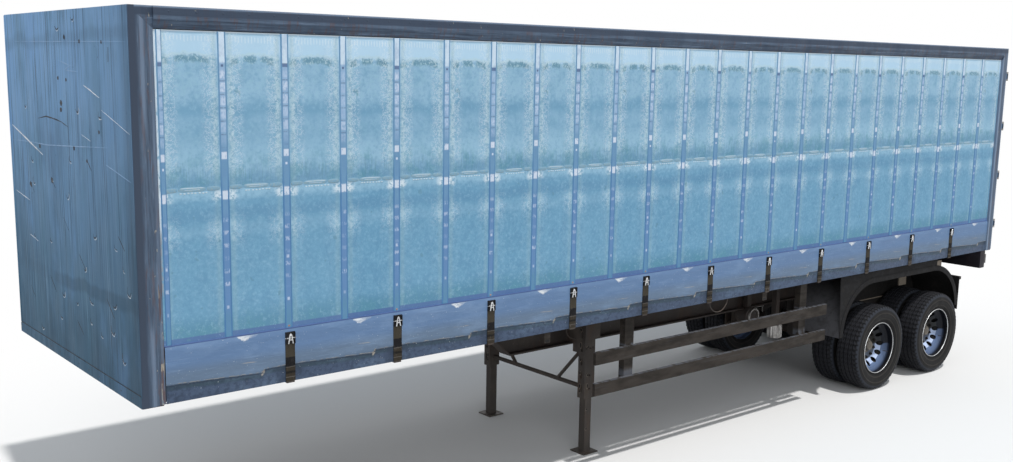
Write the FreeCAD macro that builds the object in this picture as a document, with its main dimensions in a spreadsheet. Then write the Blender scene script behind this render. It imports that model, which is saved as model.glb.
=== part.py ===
"""Tandem-axle curtain-sided semi trailer, parked on its landing legs.

Frame: +X forward, +Y to the left side, +Z up, millimetres. The origin lies on the
ground, under the middle of the whole trailer. Every size below is a cell of the sheet,
and each piece is placed from those cells.
"""
import FreeCAD
import Part
import Sketcher
import math
import os

DOC = FreeCAD.newDocument("semi_trailer")

SIZE_TABLE = (
    ("body_length", 10660, "front wall's face to the rear posts' rear faces"),
    ("body_width", 2500, "outer faces of the posts and top rails"),
    ("body_height", 2444, "lower edge of the skirt to the top of the rails"),
    ("body_lift", 1380, "ground to the lower edge of the skirt"),
    ("gear_reach", 50, "how far the door gear stands behind the rear posts"),
    ("wall_thick", 45, "front wall"),
    ("front_post_depth", 115, "front posts, behind the wall"),
    ("front_post_flat", 42, "flat part of the front posts' outer faces"),
    ("rear_post_depth", 110, "rear posts, along the trailer"),
    ("post_width", 80, "rear posts, across"),
    ("post_round", 25, "rear posts' rounded lower corners"),
    ("front_post_width", 100, "front posts, across"),
    ("rail_height", 132, "top rails"),
    ("rail_width", 100, "top rails, across"),
    ("rail_bevel", 55, "height of the bevel under the top rails"),
    ("bevel_depth", 18, "how far post and rail bevels go in"),
    ("deck_height", 150, "deck's top above the skirt's lower edge"),
    ("floor_thick", 30, "deck planks"),
    ("rave_gap", 8, "side rave's underside above the skirt's lower edge"),
    ("rave_thick", 8, "side rave's plate"),
    ("soft_gap", 0.3, "air between a soft piece and its seat"),
    ("curtain_inset", 22, "curtain's outer face inside the body width"),
    ("curtain_thick", 16, "curtain with its webbing"),
    ("skirt_height", 370, "skirt below the curtain"),
    ("skirt_proud", 10, "skirt's face outside the curtain's"),
    ("band_width", 65, "webbings sewn to the curtain"),
    ("band_proud", 4, "webbings outside the curtain's face"),
    ("web_width", 75, "tensioning straps"),
    ("web_thick", 12, "tensioning straps"),
    ("web_height", 345, "strap's top above the skirt's lower edge"),
    ("web_drop", 10, "strap's hook below the skirt's lower edge"),
    ("buckle_height", 95, "buckle on each strap"),
    ("buckle_thick", 10, "buckle outside its strap"),
    ("beam_spacing", 1000, "between the webs of the main beams"),
    ("beam_web", 12, "main beam web"),
    ("flange_width", 140, "main beam flanges"),
    ("flange_thick", 14, "main beam flanges"),
    ("beam_drop", 370, "main beams' underside below the skirt's lower edge"),
    ("neck_drop", 150, "neck's underside below the skirt's lower edge"),
    ("neck_length", 3280, "front face to the start of the beams' step"),
    ("step_length", 240, "sloping step of the main beams"),
    ("bearer_first", 75, "first cross bearer's middle behind the front posts"),
    ("bearer_width", 50, "cross bearers"),
    ("bow_size", 40, "roof bows"),
    ("roof_thick", 26, "roof panel"),
    ("roof_dip", 6, "roof panel's top below the rails' top"),
    ("pillar_depth", 100, "inner pillars, along the trailer"),
    ("pillar_width", 50, "inner pillars, across"),
    ("plate_thick", 10, "coupler plate"),
    ("plate_length", 1450, "coupler plate"),
    ("plate_width", 1120, "coupler plate"),
    ("bolster_depth", 135, "front bolster"),
    ("bolster_drop", 35, "front bolster's underside below the skirt's lower edge"),
    ("wall_recess", 6, "front wall's panel behind its bottom rail"),
    ("wall_rail", 72, "front wall's bottom rail"),
    ("pin_setback", 900, "kingpin's axis behind the front face"),
    ("pin_collar", 36.5, "kingpin's upper radius"),
    ("pin_neck", 25.4, "kingpin's neck radius"),
    ("pin_flange", 35.7, "kingpin's lower flange radius"),
    ("collar_length", 35, "kingpin's upper part"),
    ("neck_height", 35, "kingpin's neck"),
    ("pin_rim", 14, "kingpin's lower flange"),
    ("leg_setback", 4330, "landing legs' axis behind the front face"),
    ("leg_spacing", 1380, "between the landing legs' axes"),
    ("leg_depth", 125, "leg housings, along the trailer"),
    ("leg_width", 88, "leg housings, across"),
    ("leg_inner", 76, "inner legs"),
    ("leg_top_drop", 60, "leg housings' top below the skirt's lower edge"),
    ("leg_housing_drop", 860, "leg housings' lower end below the skirt's lower edge"),
    ("foot_size", 180, "foot plates"),
    ("foot_thick", 12, "foot plates"),
    ("slot_width", 26, "slots in the leg housings"),
    ("slot_height", 70, "slots in the leg housings"),
    ("slot_depth", 14, "slots in the leg housings"),
    ("slot_pitch", 127, "slots in the leg housings"),
    ("slot_first", 90, "lowest slot above the leg housings' lower end"),
    ("leg_hole", 9, "radius of the holes in the legs' outer faces"),
    ("gearbox_depth", 60, "gearboxes behind the legs"),
    ("gearbox_height", 150, "gearboxes behind the legs"),
    ("brace_radius", 20, "cross tube between the legs"),
    ("diagonal_radius", 17, "diagonal tubes between the legs"),
    ("brace_drop", 770, "cross tube below the skirt's lower edge"),
    ("brace_foot", 300, "diagonals' lower ends from the middle"),
    ("shaft_radius", 13, "cross shaft of the landing gear"),
    ("crank_throw", 230, "length of the crank's arm"),
    ("crank_reach", 39, "crank's end outside the leg"),
    ("shaft_drop", 230, "cross shaft below the skirt's lower edge"),
    ("shaft_room", 6, "air round the cross shaft in the main beams"),
    ("guard_nose", 425, "side guards' front end before the middle of their front bearer"),
    ("guard_tail", 355, "side guards' rear end behind the middle of their rear bearer"),
    ("guard_reach", 1175, "side guards' outer faces from the middle"),
    ("guard_thick", 30, "side guard rails"),
    ("guard_height", 114, "side guard rails"),
    ("guard_upper_drop", 280, "upper rail's top below the skirt's lower edge"),
    ("guard_lower_drop", 556, "lower rail's top below the skirt's lower edge"),
    ("guard_post_width", 110, "side guard posts, along the trailer"),
    ("guard_post_depth", 65, "side guard posts, across"),
    ("guard_lead_front", 45, "front post's face before the middle of its bearer"),
    ("guard_lead_rear", 85, "rear post's face before the middle of its bearer"),
    ("tyre_radius", 478.5, "tyres"),
    ("tyre_tread", 240, "tread width"),
    ("sidewall_round", 142, "radius of the tyres' side walls"),
    ("shoulder_drop", 16, "tyre shoulders below the tread's middle"),
    ("tread_crown", 4, "fall of the tread from its middle to its edge"),
    ("bead_rise", 2, "side walls' start above the rim flanges"),
    ("rim_width", 210, "rims between their flanges"),
    ("rim_radius", 286.5, "rims under the beads"),
    ("rim_flange", 298, "rim flanges"),
    ("rim_thick", 7, "rim barrel"),
    ("rim_well", 28, "depth of the drop centre"),
    ("well_slope", 22, "slope beside the drop centre"),
    ("disc_thick", 12, "wheel discs"),
    ("disc_bore", 111, "wheel discs' centre hole radius"),
    ("disc_land", 165, "radius of the discs' flat face"),
    ("disc_reach", 175, "where a disc's cone meets its rim, from the discs' plane"),
    ("cone_thick", 25, "the discs' cones, measured along the axle"),
    ("pilot_gap", 1, "air between the hub and the discs' centre hole"),
    ("hand_hole", 31, "radius of the hand holes"),
    ("hand_ring", 202, "radius of the circle of hand holes"),
    ("hand_drill", 150, "length of the cut that makes a hand hole"),
    ("dual_reach", 942, "twin discs' meeting plane from the middle"),
    ("dual_spacing", 320, "between the twin tyres' centres"),
    ("rear_overhang", 1104, "rear axle before the rear posts' rear faces"),
    ("axle_spacing", 1205, "between the axles"),
    ("drum_radius", 205, "brake drums"),
    ("drum_wall", 13, "brake drums"),
    ("drum_depth", 250, "brake drum's open end inside the discs' plane"),
    ("drum_face", 115, "brake drum's closed end inside the discs' plane"),
    ("hub_flange", 153, "hub flange radius"),
    ("hub_boss", 80, "radius of the hub's inner boss"),
    ("boss_depth", 24, "hub's inner boss inside the drum"),
    ("hub_nose", 84, "radius of the hub's outer part"),
    ("nose_reach", 118, "hub's outer part outside the discs' plane"),
    ("hub_cap", 54, "hub cap radius"),
    ("cap_wall", 24, "hub cap's end"),
    ("cap_edge", 10, "hub cap's cut-off edge"),
    ("hub_reach", 166, "hub cap outside the discs' plane"),
    ("spindle_radius", 40, "axle spindles"),
    ("spindle_gap", 0.08, "running clearance of hubs and hinges"),
    ("axle_radius", 63, "axle beams"),
    ("shield_gap", 8, "dust shield inside the drum's open end"),
    ("shield_thick", 5, "dust shields"),
    ("seat_height", 30, "spring seats above the axle beams"),
    ("seat_length", 190, "spring seats"),
    ("spring_reach", 490, "leaf springs from the middle"),
    ("spring_width", 76, "leaf springs"),
    ("spring_half", 470, "half the length of a leaf spring"),
    ("spring_camber", 62, "rise of the spring's ends"),
    ("spring_tip", 20, "thickness of the spring's ends"),
    ("spring_pack", 60, "thickness of the spring's middle"),
    ("hanger_plate", 12, "spring hanger plates"),
    ("hanger_top", 150, "spring hangers along the beam"),
    ("hanger_foot", 100, "spring hangers at their lower end"),
    ("hanger_low", 480, "spring hangers' lower end above the ground"),
    ("hanger_pin", 16, "radius of the hanger pins"),
    ("pin_rise", 24, "hanger pins above the hangers' lower end"),
    ("pad_thick", 24, "wear pads over the springs' ends"),
    ("rocker_half", 165, "half the length of the equalizing rocker"),
    ("rocker_height", 70, "equalizing rocker"),
    ("rocker_pin", 24, "radius of the rocker's pin"),
    ("rod_radius", 18, "radius rods"),
    ("chamber_radius", 80, "brake chambers"),
    ("chamber_length", 190, "brake chambers"),
    ("chamber_reach", 300, "brake chambers from the middle"),
    ("guard_arc", 600, "radius of the mudguard's ends"),
    ("mudguard_reach", 1200, "mudguards' outer edges from the middle"),
    ("mudguard_width", 580, "mudguards, across"),
    ("mudguard_drop", 85, "mudguards' top below the skirt's lower edge"),
    ("mudguard_skin", 5, "mudguard sheet"),
    ("mudguard_lip", 60, "rolled edge of the mudguards"),
    ("mudguard_wall", 440, "depth of the sheet that closes a mudguard's inner side"),
    ("mudguard_lead", 766, "mudguard's front face before the front axle"),
    ("mudguard_tail", 106, "rear arc's centre before the rear axle"),
    ("flap_setback", 512, "mud flap behind the rear axle"),
    ("flap_inset", 12, "mud flap's edge inside the mudguard's"),
    ("flap_thick", 8, "mud flaps"),
    ("flap_width", 570, "mud flaps"),
    ("flap_top_drop", 285, "mud flaps' top below the skirt's lower edge"),
    ("flap_length", 400, "mud flaps"),
    ("bar_size", 36, "mud flap bars and mudguard stays"),
    ("bumper_drop", 215, "rear beam's underside below the skirt's lower edge"),
    ("bumper_depth", 110, "rear beam, along the trailer"),
    ("bumper_inset", 90, "rear beam's rear face before the posts' rear faces"),
    ("bumper_side", 20, "rear beam's ends inside the body width"),
    ("lamp_length", 340, "rear lamps"),
    ("lamp_height", 110, "rear lamps"),
    ("lamp_depth", 30, "rear lamps' housings"),
    ("lens_radius", 44, "lenses of the rear lamps"),
    ("lens_pitch", 108, "lenses of the rear lamps"),
    ("lens_proud", 8, "lenses outside their housings"),
    ("tank_radius", 135, "air tank"),
    ("tank_length", 820, "air tank"),
    ("tank_drop", 190, "air tank's axis below the bearers"),
    ("tank_strap", 135, "air tank's hangers, across"),
    ("door_gap", 6, "air round the rear doors"),
    ("door_meet", 4, "each door's edge from the middle"),
    ("door_thick", 45, "rear doors"),
    ("door_proud", 6, "doors' outer faces behind the posts' rear faces"),
    ("door_recess", 5, "sunk panels on the doors' outer faces"),
    ("door_border", 70, "border round the sunk panels"),
    ("hinge_setback", 24, "hinge axis behind the posts' rear faces"),
    ("hinge_inset", 3, "hinge axis inside the body width"),
    ("hinge_radius", 12, "hinge knuckles"),
    ("hinge_pin", 8, "hinge pins"),
    ("hinge_height", 60, "hinge knuckle on the door"),
    ("hinge_strap", 160, "hinge strap along the door"),
    ("strap_thick", 10, "hinge strap"),
    ("ear_height", 22, "hinge ears on the post"),
    ("ear_gap", 1, "between the ears and the knuckle"),
    ("hinge_low", 330, "lowest hinge above the skirt's lower edge"),
    ("hinge_high", 329, "highest hinge below the top of the rails"),
    ("bar_radius", 13, "lock bars"),
    ("bar_setback", 30, "lock bars behind the posts' rear faces"),
    ("bar_near_reach", 300, "inner lock bar from the middle"),
    ("bar_far_reach", 800, "outer lock bar from the middle"),
    ("bar_low", 60, "lock bars' lower end above the skirt's lower edge"),
    ("bar_drop", 54, "lock bars' upper end below the top of the rails"),
    ("clamp_size", 34, "lock bar clamps"),
    ("handle_length", 360, "lock bar handles"),
    ("handle_rise", 930, "lower handle above the skirt's lower edge"),
    ("handle_step", 130, "upper handle above the lower one"),
    ("handle_thick", 10, "lock bar handles"),
    ("keeper_gap", 6, "between the lock bars and their keepers"),
    ("keeper_thick", 12, "keepers of the lock bars"),
)

HAND_HOLES = 12
HAND_TILT = math.radians(24)
STRAPS = 11
BANDS = 2 * STRAPS + 1
BEARERS = 20
BEARER_BAYS = 20.5
GUARD_BEARERS = (8, 13)
TANK_BEARER = 9
BOWS = 7
PILLARS = 3
HINGES = 4
SLOTS = 5
SLOTS_WITH_HOLES = (0, 1, 3)
LENSES = 3


class Measure:
    """A length that knows its value and the sheet formula that it comes from."""

    def __init__(self, value, formula):
        self.value = float(value)
        self.formula = formula

    def __add__(self, other):
        other = measure(other)
        return Measure(self.value + other.value, f"({self.formula} + {other.formula})")

    def __sub__(self, other):
        other = measure(other)
        return Measure(self.value - other.value, f"({self.formula} - {other.formula})")

    def __mul__(self, other):
        other = measure(other)
        return Measure(self.value * other.value, f"({self.formula} * {other.formula})")

    def __truediv__(self, other):
        other = measure(other)
        return Measure(self.value / other.value, f"({self.formula} / {other.formula})")

    def __neg__(self):
        return Measure(-self.value, f"(0 - {self.formula})")

    def __radd__(self, other):
        return measure(other) + self

    def __rsub__(self, other):
        return measure(other) - self

    def __rmul__(self, other):
        return measure(other) * self


def measure(thing):
    """Gives a plain number the form of a measure."""
    if isinstance(thing, Measure):
        return thing
    return Measure(thing, f"({thing:.9f})")


class Sizes:
    """Every cell of the sheet, under its own name."""


def fill_sheet():
    """Writes the sheet and returns its cells as measures."""
    sheet = DOC.addObject("Spreadsheet::Sheet", "Sizes")
    sizes = Sizes()
    for row, (word, value, meaning) in enumerate(SIZE_TABLE, start=1):
        sheet.set(f"A{row}", word)
        sheet.set(f"B{row}", str(value))
        sheet.set(f"C{row}", meaning)
        sheet.setAlias(f"B{row}", word)
        setattr(sizes, word, Measure(value, f"Sizes.{word}"))
    DOC.recompute()
    return sizes


S = fill_sheet()

OVERALL = S.body_length + S.gear_reach
FRONT = OVERALL / 2
REAR = FRONT - S.body_length
HALF_WIDTH = S.body_width / 2
BASE = S.body_lift
TOP = BASE + S.body_height
DECK = BASE + S.deck_height
BEARER_LOW = BASE + S.rave_gap + S.rave_thick
CURTAIN_FACE = HALF_WIDTH - S.curtain_inset
RAVE_FACE = CURTAIN_FACE - S.curtain_thick - S.soft_gap
RAIL_LOW = TOP - S.rail_height
REAR_X = REAR + S.rear_overhang
AXLES = {"rear": REAR_X, "front": REAR_X + S.axle_spacing}
SIDES = {"left": 1, "right": -1}


def bind(thing, prop, amount):
    """Ties one property to a formula of the sheet."""
    thing.setExpression(prop, measure(amount).formula)


def place(thing, x, y, z):
    """Ties an object's position to the sheet."""
    bind(thing, "Placement.Base.x", x)
    bind(thing, "Placement.Base.y", y)
    bind(thing, "Placement.Base.z", z)


def ordered(low, high):
    """Returns a pair of measures with the smaller one first."""
    low = measure(low)
    high = measure(high)
    return (low, high) if low.value <= high.value else (high, low)


def box(x, y, z):
    """A box between two planes along each axis."""
    piece = DOC.addObject("Part::Box", "Box")
    spans = [ordered(*x), ordered(*y), ordered(*z)]
    for prop, (low, high) in zip(("Length", "Width", "Height"), spans):
        bind(piece, prop, high - low)
    place(piece, spans[0][0], spans[1][0], spans[2][0])
    return piece


TURNS = {
    "X": FreeCAD.Rotation(FreeCAD.Vector(0, 1, 0), 90),
    "Y": FreeCAD.Rotation(FreeCAD.Vector(1, 0, 0), -90),
    "Z": FreeCAD.Rotation(),
}


def rod(axis, radius, span, at):
    """A round bar along one axis; `at` holds its other two coordinates in X, Y, Z order."""
    low, high = ordered(*span)
    piece = DOC.addObject("Part::Cylinder", "Rod")
    piece.Placement = FreeCAD.Placement(FreeCAD.Vector(), TURNS[axis])
    bind(piece, "Radius", radius)
    bind(piece, "Height", high - low)
    spots = {"X": (low, at[0], at[1]), "Y": (at[0], low, at[1]), "Z": (at[0], at[1], low)}
    place(piece, *spots[axis])
    return piece


def strut(radius, start, end):
    """A round bar between two points of the plane X = constant."""
    x = measure(start[0])
    rise = measure(end[2]) - start[2]
    run = measure(end[1]) - start[1]
    piece = DOC.addObject("Part::Cylinder", "Strut")
    bind(piece, "Radius", radius)
    piece.setExpression("Height", f"sqrt({run.formula}^2 + {rise.formula}^2)")
    piece.Placement = FreeCAD.Placement(FreeCAD.Vector(), FreeCAD.Rotation(FreeCAD.Vector(1, 0, 0), 0))
    piece.setExpression("Placement.Rotation.Axis.x", "1")
    piece.setExpression("Placement.Rotation.Axis.y", "0")
    piece.setExpression("Placement.Rotation.Axis.z", "0")
    piece.setExpression("Placement.Rotation.Angle", f"atan2(0 - {run.formula}; {rise.formula})")
    place(piece, x, start[1], start[2])
    return piece


def origin_plane(body, role):
    """One of a body's own base planes."""
    return next(item for item in body.Origin.OriginFeatures if item.Role == role)


def arc_between(start, end, radius):
    """The shorter arc between two points; a positive radius keeps its centre on the left."""
    chord = end - start
    half = chord.Length / 2
    left = FreeCAD.Vector(-chord.y, chord.x, 0).normalize()
    reach = math.sqrt(max(radius * radius - half * half, 0.0))
    centre = (start + end) / 2 + left * math.copysign(reach, radius)
    first, last = (start, end) if radius > 0 else (end, start)
    circle = Part.Circle(centre, FreeCAD.Vector(0, 0, 1), abs(radius))
    angles = [math.atan2(point.y - centre.y, point.x - centre.x) for point in (first, last)]
    return Part.ArcOfCircle(circle, angles[0], angles[1])


def outline(body, role, points, offset=None):
    """A closed sketch whose corners are tied to the sheet.

    Each point is (across, up), or (across, up, radius) where an arc leads to the next one.
    """
    sketch = body.newObject("Sketcher::SketchObject", "Outline")
    sketch.AttachmentSupport = (origin_plane(body, role), [""])
    sketch.MapMode = "FlatFace"
    for word, amount in (offset or {}).items():
        bind(sketch, f"AttachmentOffset.Base.{word}", amount)
    points = [tuple(measure(part) for part in point) for point in points]
    corners = [FreeCAD.Vector(point[0].value, point[1].value, 0) for point in points]
    count = len(points)
    ends = []
    for index, point in enumerate(points):
        start = corners[index]
        end = corners[(index + 1) % count]
        if len(point) == 3:
            sketch.addGeometry(arc_between(start, end, point[2].value), False)
            ends.append((1, 2) if point[2].value > 0 else (2, 1))
        else:
            sketch.addGeometry(Part.LineSegment(start, end), False)
            ends.append((1, 2))
    for index in range(count):
        following = (index + 1) % count
        joint = Sketcher.Constraint("Coincident", index, ends[index][1], following, ends[following][0])
        sketch.addConstraint(joint)
    for index, point in enumerate(points):
        for word, kind, part in (("across", "DistanceX", point[0]), ("up", "DistanceY", point[1])):
            limit = Sketcher.Constraint(kind, -1, 1, index, ends[index][0], part.value)
            sketch.renameConstraint(sketch.addConstraint(limit), f"{word}{index}")
            bind(sketch, f"Constraints.{word}{index}", part)
        if len(point) == 3:
            size = point[2] if point[2].value > 0 else -point[2]
            limit = Sketcher.Constraint("Radius", index, size.value)
            sketch.renameConstraint(sketch.addConstraint(limit), f"round{index}")
            bind(sketch, f"Constraints.round{index}", size)
    return sketch


NORMALS = {"XY_Plane": 1, "XZ_Plane": -1, "YZ_Plane": 1}


def padded(role, points, span):
    """An outline carried through between two planes square to it."""
    low, high = ordered(*span)
    body = DOC.addObject("PartDesign::Body", "Body")
    start = low if NORMALS[role] > 0 else -high
    sketch = outline(body, role, points, {"z": start})
    pad = body.newObject("PartDesign::Pad", "Pad")
    pad.Profile = sketch
    bind(pad, "Length", high - low)
    sketch.Visibility = False
    return body


def extended(body, role, points, start, length):
    """Adds another outline to a body, carried on from a start along its plane's normal."""
    sketch = outline(body, role, points, {"z": start})
    pad = body.newObject("PartDesign::Pad", "Rib")
    pad.Profile = sketch
    bind(pad, "Length", length)
    sketch.Visibility = False
    return body


def repeated(body, axis, count, pitch):
    """Repeats a body's last feature along one of its own axes."""
    pattern = body.newObject("PartDesign::LinearPattern", "Pattern")
    pattern.Originals = [body.Tip]
    pattern.Direction = (origin_plane(body, f"{axis}_Axis"), [""])
    pattern.Reversed = True
    pattern.Occurrences = count
    bind(pattern, "Length", pitch * (count - 1))
    body.Tip = pattern
    return body


def turned(x, z, points):
    """A round piece about an axis along Y; each point is (y, radius) with an optional arc."""
    body = DOC.addObject("PartDesign::Body", "Body")
    sketch = outline(body, "YZ_Plane", points, {"z": x, "y": z})
    spin = body.newObject("PartDesign::Revolution", "Revolution")
    spin.Profile = sketch
    spin.ReferenceAxis = (sketch, ["H_Axis"])
    spin.Angle = 360
    sketch.Visibility = False
    return body


def joined(*pieces):
    """One solid made of several that touch or overlap."""
    fuse = DOC.addObject("Part::MultiFuse", "Joined")
    fuse.Shapes = list(pieces)
    fuse.Refine = True
    return fuse


def cut(base, *tools):
    """A piece with others taken away from it."""
    tool = tools[0] if len(tools) == 1 else group(*tools)
    piece = DOC.addObject("Part::Cut", "Cut")
    piece.Base = base
    piece.Tool = tool
    return piece


def group(*pieces):
    """Separate solids of one kind, kept together."""
    bunch = DOC.addObject("Part::Compound", "Group")
    bunch.Links = list(pieces)
    return bunch


def mirrored(piece):
    """The same piece on the trailer's other side."""
    other = DOC.addObject("Part::Mirroring", "Other")
    other.Source = piece
    other.Normal = (0, 1, 0)
    return other


def shifted(piece, distance):
    """The same piece again, further along the trailer."""
    other = group(piece)
    bind(other, "Placement.Base.x", distance)
    return other


def both_sides(piece):
    """A piece with its mirror image."""
    return group(piece, mirrored(piece))


def front_wall():
    """Front wall over its own bottom rail."""
    back = FRONT - S.wall_thick
    y = (-HALF_WIDTH, HALF_WIDTH)
    rail = box((back, FRONT), y, (BASE, BASE + S.wall_rail))
    panel = box((back, FRONT - S.wall_recess), y, (BASE + S.wall_rail, TOP))
    return joined(rail, panel)


def front_posts():
    """Posts behind the front wall, bevelled towards the curtain."""
    front = FRONT - S.wall_thick
    back = front - S.front_post_depth
    inner = HALF_WIDTH - S.front_post_width
    points = (
        (front, inner),
        (front, HALF_WIDTH),
        (front - S.front_post_flat, HALF_WIDTH),
        (back, HALF_WIDTH - S.bevel_depth),
        (back, inner),
    )
    return both_sides(padded("XY_Plane", points, (BASE, TOP)))


POST_BACK = FRONT - S.wall_thick - S.front_post_depth
FRAME_FRONT = REAR + S.rear_post_depth
DOORWAY = HALF_WIDTH - S.post_width
MODULE = (POST_BACK - FRAME_FRONT) / (STRAPS + 1)


def top_rails():
    """Side rails under the roof, with a bevel over the curtain."""
    inner = HALF_WIDTH - S.rail_width
    points = (
        (inner, TOP),
        (HALF_WIDTH, TOP),
        (HALF_WIDTH, RAIL_LOW + S.rail_bevel),
        (HALF_WIDTH - S.bevel_depth, RAIL_LOW),
        (inner, RAIL_LOW),
    )
    return both_sides(padded("YZ_Plane", points, (FRAME_FRONT, POST_BACK)))


def rear_frame():
    """Rear posts, header and sill in one weldment, with the keepers of the lock bars."""
    span = (REAR, FRAME_FRONT)
    post = (
        (REAR, BASE + S.post_round, S.post_round),
        (REAR + S.post_round, BASE),
        (FRAME_FRONT, BASE),
        (FRAME_FRONT, TOP),
        (REAR, TOP),
    )
    parts = [padded("XZ_Plane", post, (DOORWAY, HALF_WIDTH))]
    parts.append(padded("XZ_Plane", post, (-HALF_WIDTH, -DOORWAY)))
    parts.append(box(span, (-DOORWAY, DOORWAY), (RAIL_LOW, TOP)))
    parts.append(box(span, (-DOORWAY, DOORWAY), (BASE, DECK)))
    depth = (REAR - S.bar_setback - S.bar_radius, REAR)
    for sign in SIDES.values():
        for offset in (S.bar_near_reach, S.bar_far_reach):
            for way in (1, -1):
                near = sign * offset + way * (S.bar_radius + S.keeper_gap)
                far = near + way * S.keeper_thick
                parts.append(box(depth, (near, far), (BASE + S.bar_low, DECK - S.door_gap)))
                parts.append(box(depth, (near, far), (RAIL_LOW + S.keeper_thick, TOP - S.bar_drop)))
    return joined(*parts)


def roof_bows():
    inner = HALF_WIDTH - S.rail_width
    high = TOP - S.roof_dip - S.roof_thick
    pitch = (POST_BACK - FRAME_FRONT) / (BOWS + 1)
    bows = []
    for index in range(BOWS):
        x = POST_BACK - pitch * (index + 1)
        bows.append(box((x - S.bow_size, x), (-inner, inner), (high - S.bow_size, high)))
    return group(*bows)


def roof_panel():
    edge = HALF_WIDTH - S.rail_width
    low = TOP - S.roof_dip - S.roof_thick
    return box((FRAME_FRONT, FRONT - S.wall_thick), (-edge, edge), (low, low + S.roof_thick))


def deck_floor():
    edge = RAVE_FACE - S.rave_thick
    inner = HALF_WIDTH - S.front_post_width
    main = box((FRAME_FRONT, POST_BACK), (-edge, edge), (DECK - S.floor_thick, DECK))
    nose = box((POST_BACK, FRONT - S.wall_thick), (-inner, inner), (DECK - S.floor_thick, DECK))
    return joined(main, nose)


def side_raves():
    """Edge plates of the deck, which the bearers end against."""
    plate = (RAVE_FACE - S.rave_thick, RAVE_FACE)
    return both_sides(box((FRAME_FRONT, POST_BACK), plate, (BASE + S.rave_gap, DECK)))


def cross_bearers():
    """Box-section bearers under the deck, across the main beams."""
    edge = RAVE_FACE - S.rave_thick
    bearers = []
    for index in range(BEARERS):
        x = bearer_middle(index)
        half = S.bearer_width / 2
        bearers.append(box((x - half, x + half), (-edge, edge), (BEARER_LOW, DECK - S.floor_thick)))
    return group(*bearers)


def bearer_middle(index):
    """Where the middle of one bearer lies along the trailer."""
    return POST_BACK - S.bearer_first - S.body_length * index / BEARER_BAYS


LEG_X = FRONT - S.leg_setback
LEG_Y = S.leg_spacing / 2
LEG_FACE = LEG_X + S.leg_depth / 2
SHAFT_X = LEG_X - S.leg_depth / 2 - S.gearbox_depth / 2
SHAFT_Z = BASE - S.shaft_drop
BEAM_Y = S.beam_spacing / 2
BEAM_FRONT = FRONT - S.wall_thick - S.bolster_depth
BEAM_REAR = REAR + S.bumper_inset + S.bumper_depth
BEAM_LOW = BASE - S.beam_drop
NECK_LOW = BASE - S.neck_drop


def beam_underside(offset):
    """The stepped line under a main beam, raised by an offset."""
    step = FRONT - S.neck_length
    return (
        (BEAM_REAR, BEAM_LOW + offset),
        (step - S.step_length, BEAM_LOW + offset),
        (step, NECK_LOW + offset),
        (BEAM_FRONT, NECK_LOW + offset),
    )


def beam_webs():
    """Upright plates of the two main beams, with holes for the landing gear's shaft."""
    half = S.beam_web / 2
    top = BEARER_LOW - S.flange_thick
    points = beam_underside(S.flange_thick) + ((BEAM_FRONT, top), (BEAM_REAR, top))
    web = padded("XZ_Plane", points, (BEAM_Y - half, BEAM_Y + half))
    spot = (SHAFT_X, SHAFT_Z)
    hole = rod("Y", S.shaft_radius + S.shaft_room, (BEAM_Y - S.beam_web, BEAM_Y + S.beam_web), spot)
    return both_sides(cut(web, hole))


def beam_flanges():
    """Upper and lower flanges of the main beams, the lower ones stepped down behind the neck."""
    span = (BEAM_Y - S.flange_width / 2, BEAM_Y + S.flange_width / 2)
    foot = beam_underside(0) + tuple(reversed(beam_underside(S.flange_thick)))
    upper = box((BEAM_REAR, BEAM_FRONT), span, (BEARER_LOW - S.flange_thick, BEARER_LOW))
    return both_sides(group(padded("XZ_Plane", foot, span), upper))


PLATE_LOW = NECK_LOW - S.plate_thick


def coupler_plate():
    """Skid plate under the neck, with its coupling pin, cross member and front bolster."""
    half = S.plate_width / 2
    x = FRONT - S.pin_setback
    collar = PLATE_LOW - S.collar_length
    neck = collar - S.neck_height
    inner = BEAM_Y - S.flange_width / 2
    edge = HALF_WIDTH - S.front_post_width
    return joined(
        box((BEAM_FRONT - S.plate_length, BEAM_FRONT), (-half, half), (PLATE_LOW, NECK_LOW)),
        rod("Z", S.pin_collar, (collar, PLATE_LOW), (x, 0)),
        rod("Z", S.pin_neck, (neck, collar), (x, 0)),
        rod("Z", S.pin_flange, (neck - S.pin_rim, neck), (x, 0)),
        box((BEAM_FRONT - S.plate_thick, BEAM_FRONT), (-inner, inner), (NECK_LOW, BEARER_LOW)),
        box((BEAM_FRONT, FRONT - S.wall_thick), (-edge, edge), (BASE - S.bolster_drop, DECK - S.floor_thick)),
    )


def curtain():
    """The left curtain with its webbings and the thicker skirt at its foot."""
    inner = CURTAIN_FACE - S.curtain_thick
    skirt = CURTAIN_FACE + S.skirt_proud
    high = RAIL_LOW - S.soft_gap
    seam = BASE + S.skirt_height
    points = (
        (inner, BASE),
        (skirt, BASE),
        (skirt, seam),
        (CURTAIN_FACE, seam + S.skirt_proud),
        (CURTAIN_FACE, high),
        (inner, high),
    )
    body = padded("YZ_Plane", points, (FRAME_FRONT + S.soft_gap, POST_BACK - S.soft_gap))
    face = CURTAIN_FACE + S.band_proud
    band = ((inner, seam), (face, seam), (face, high), (inner, high))
    pitch = MODULE / 2
    extended(body, "YZ_Plane", band, POST_BACK - pitch - S.band_width / 2, S.band_width)
    return repeated(body, "X", BANDS, pitch)


def buckle_straps():
    """Tensioning straps over the skirt, each with its buckle."""
    face = CURTAIN_FACE + S.skirt_proud + S.soft_gap
    straps = []
    for index in range(STRAPS):
        x = POST_BACK - MODULE * (index + 1)
        span = (x - S.web_width / 2, x + S.web_width / 2)
        web = box(span, (face, face + S.web_thick), (BASE - S.web_drop, BASE + S.web_height))
        buckle_low = BASE + S.web_height - S.buckle_height
        buckle = box(span, (face + S.web_thick, face + S.web_thick + S.buckle_thick),
                     (buckle_low, BASE + S.web_height))
        straps.append(joined(web, buckle))
    return both_sides(group(*straps))


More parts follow.
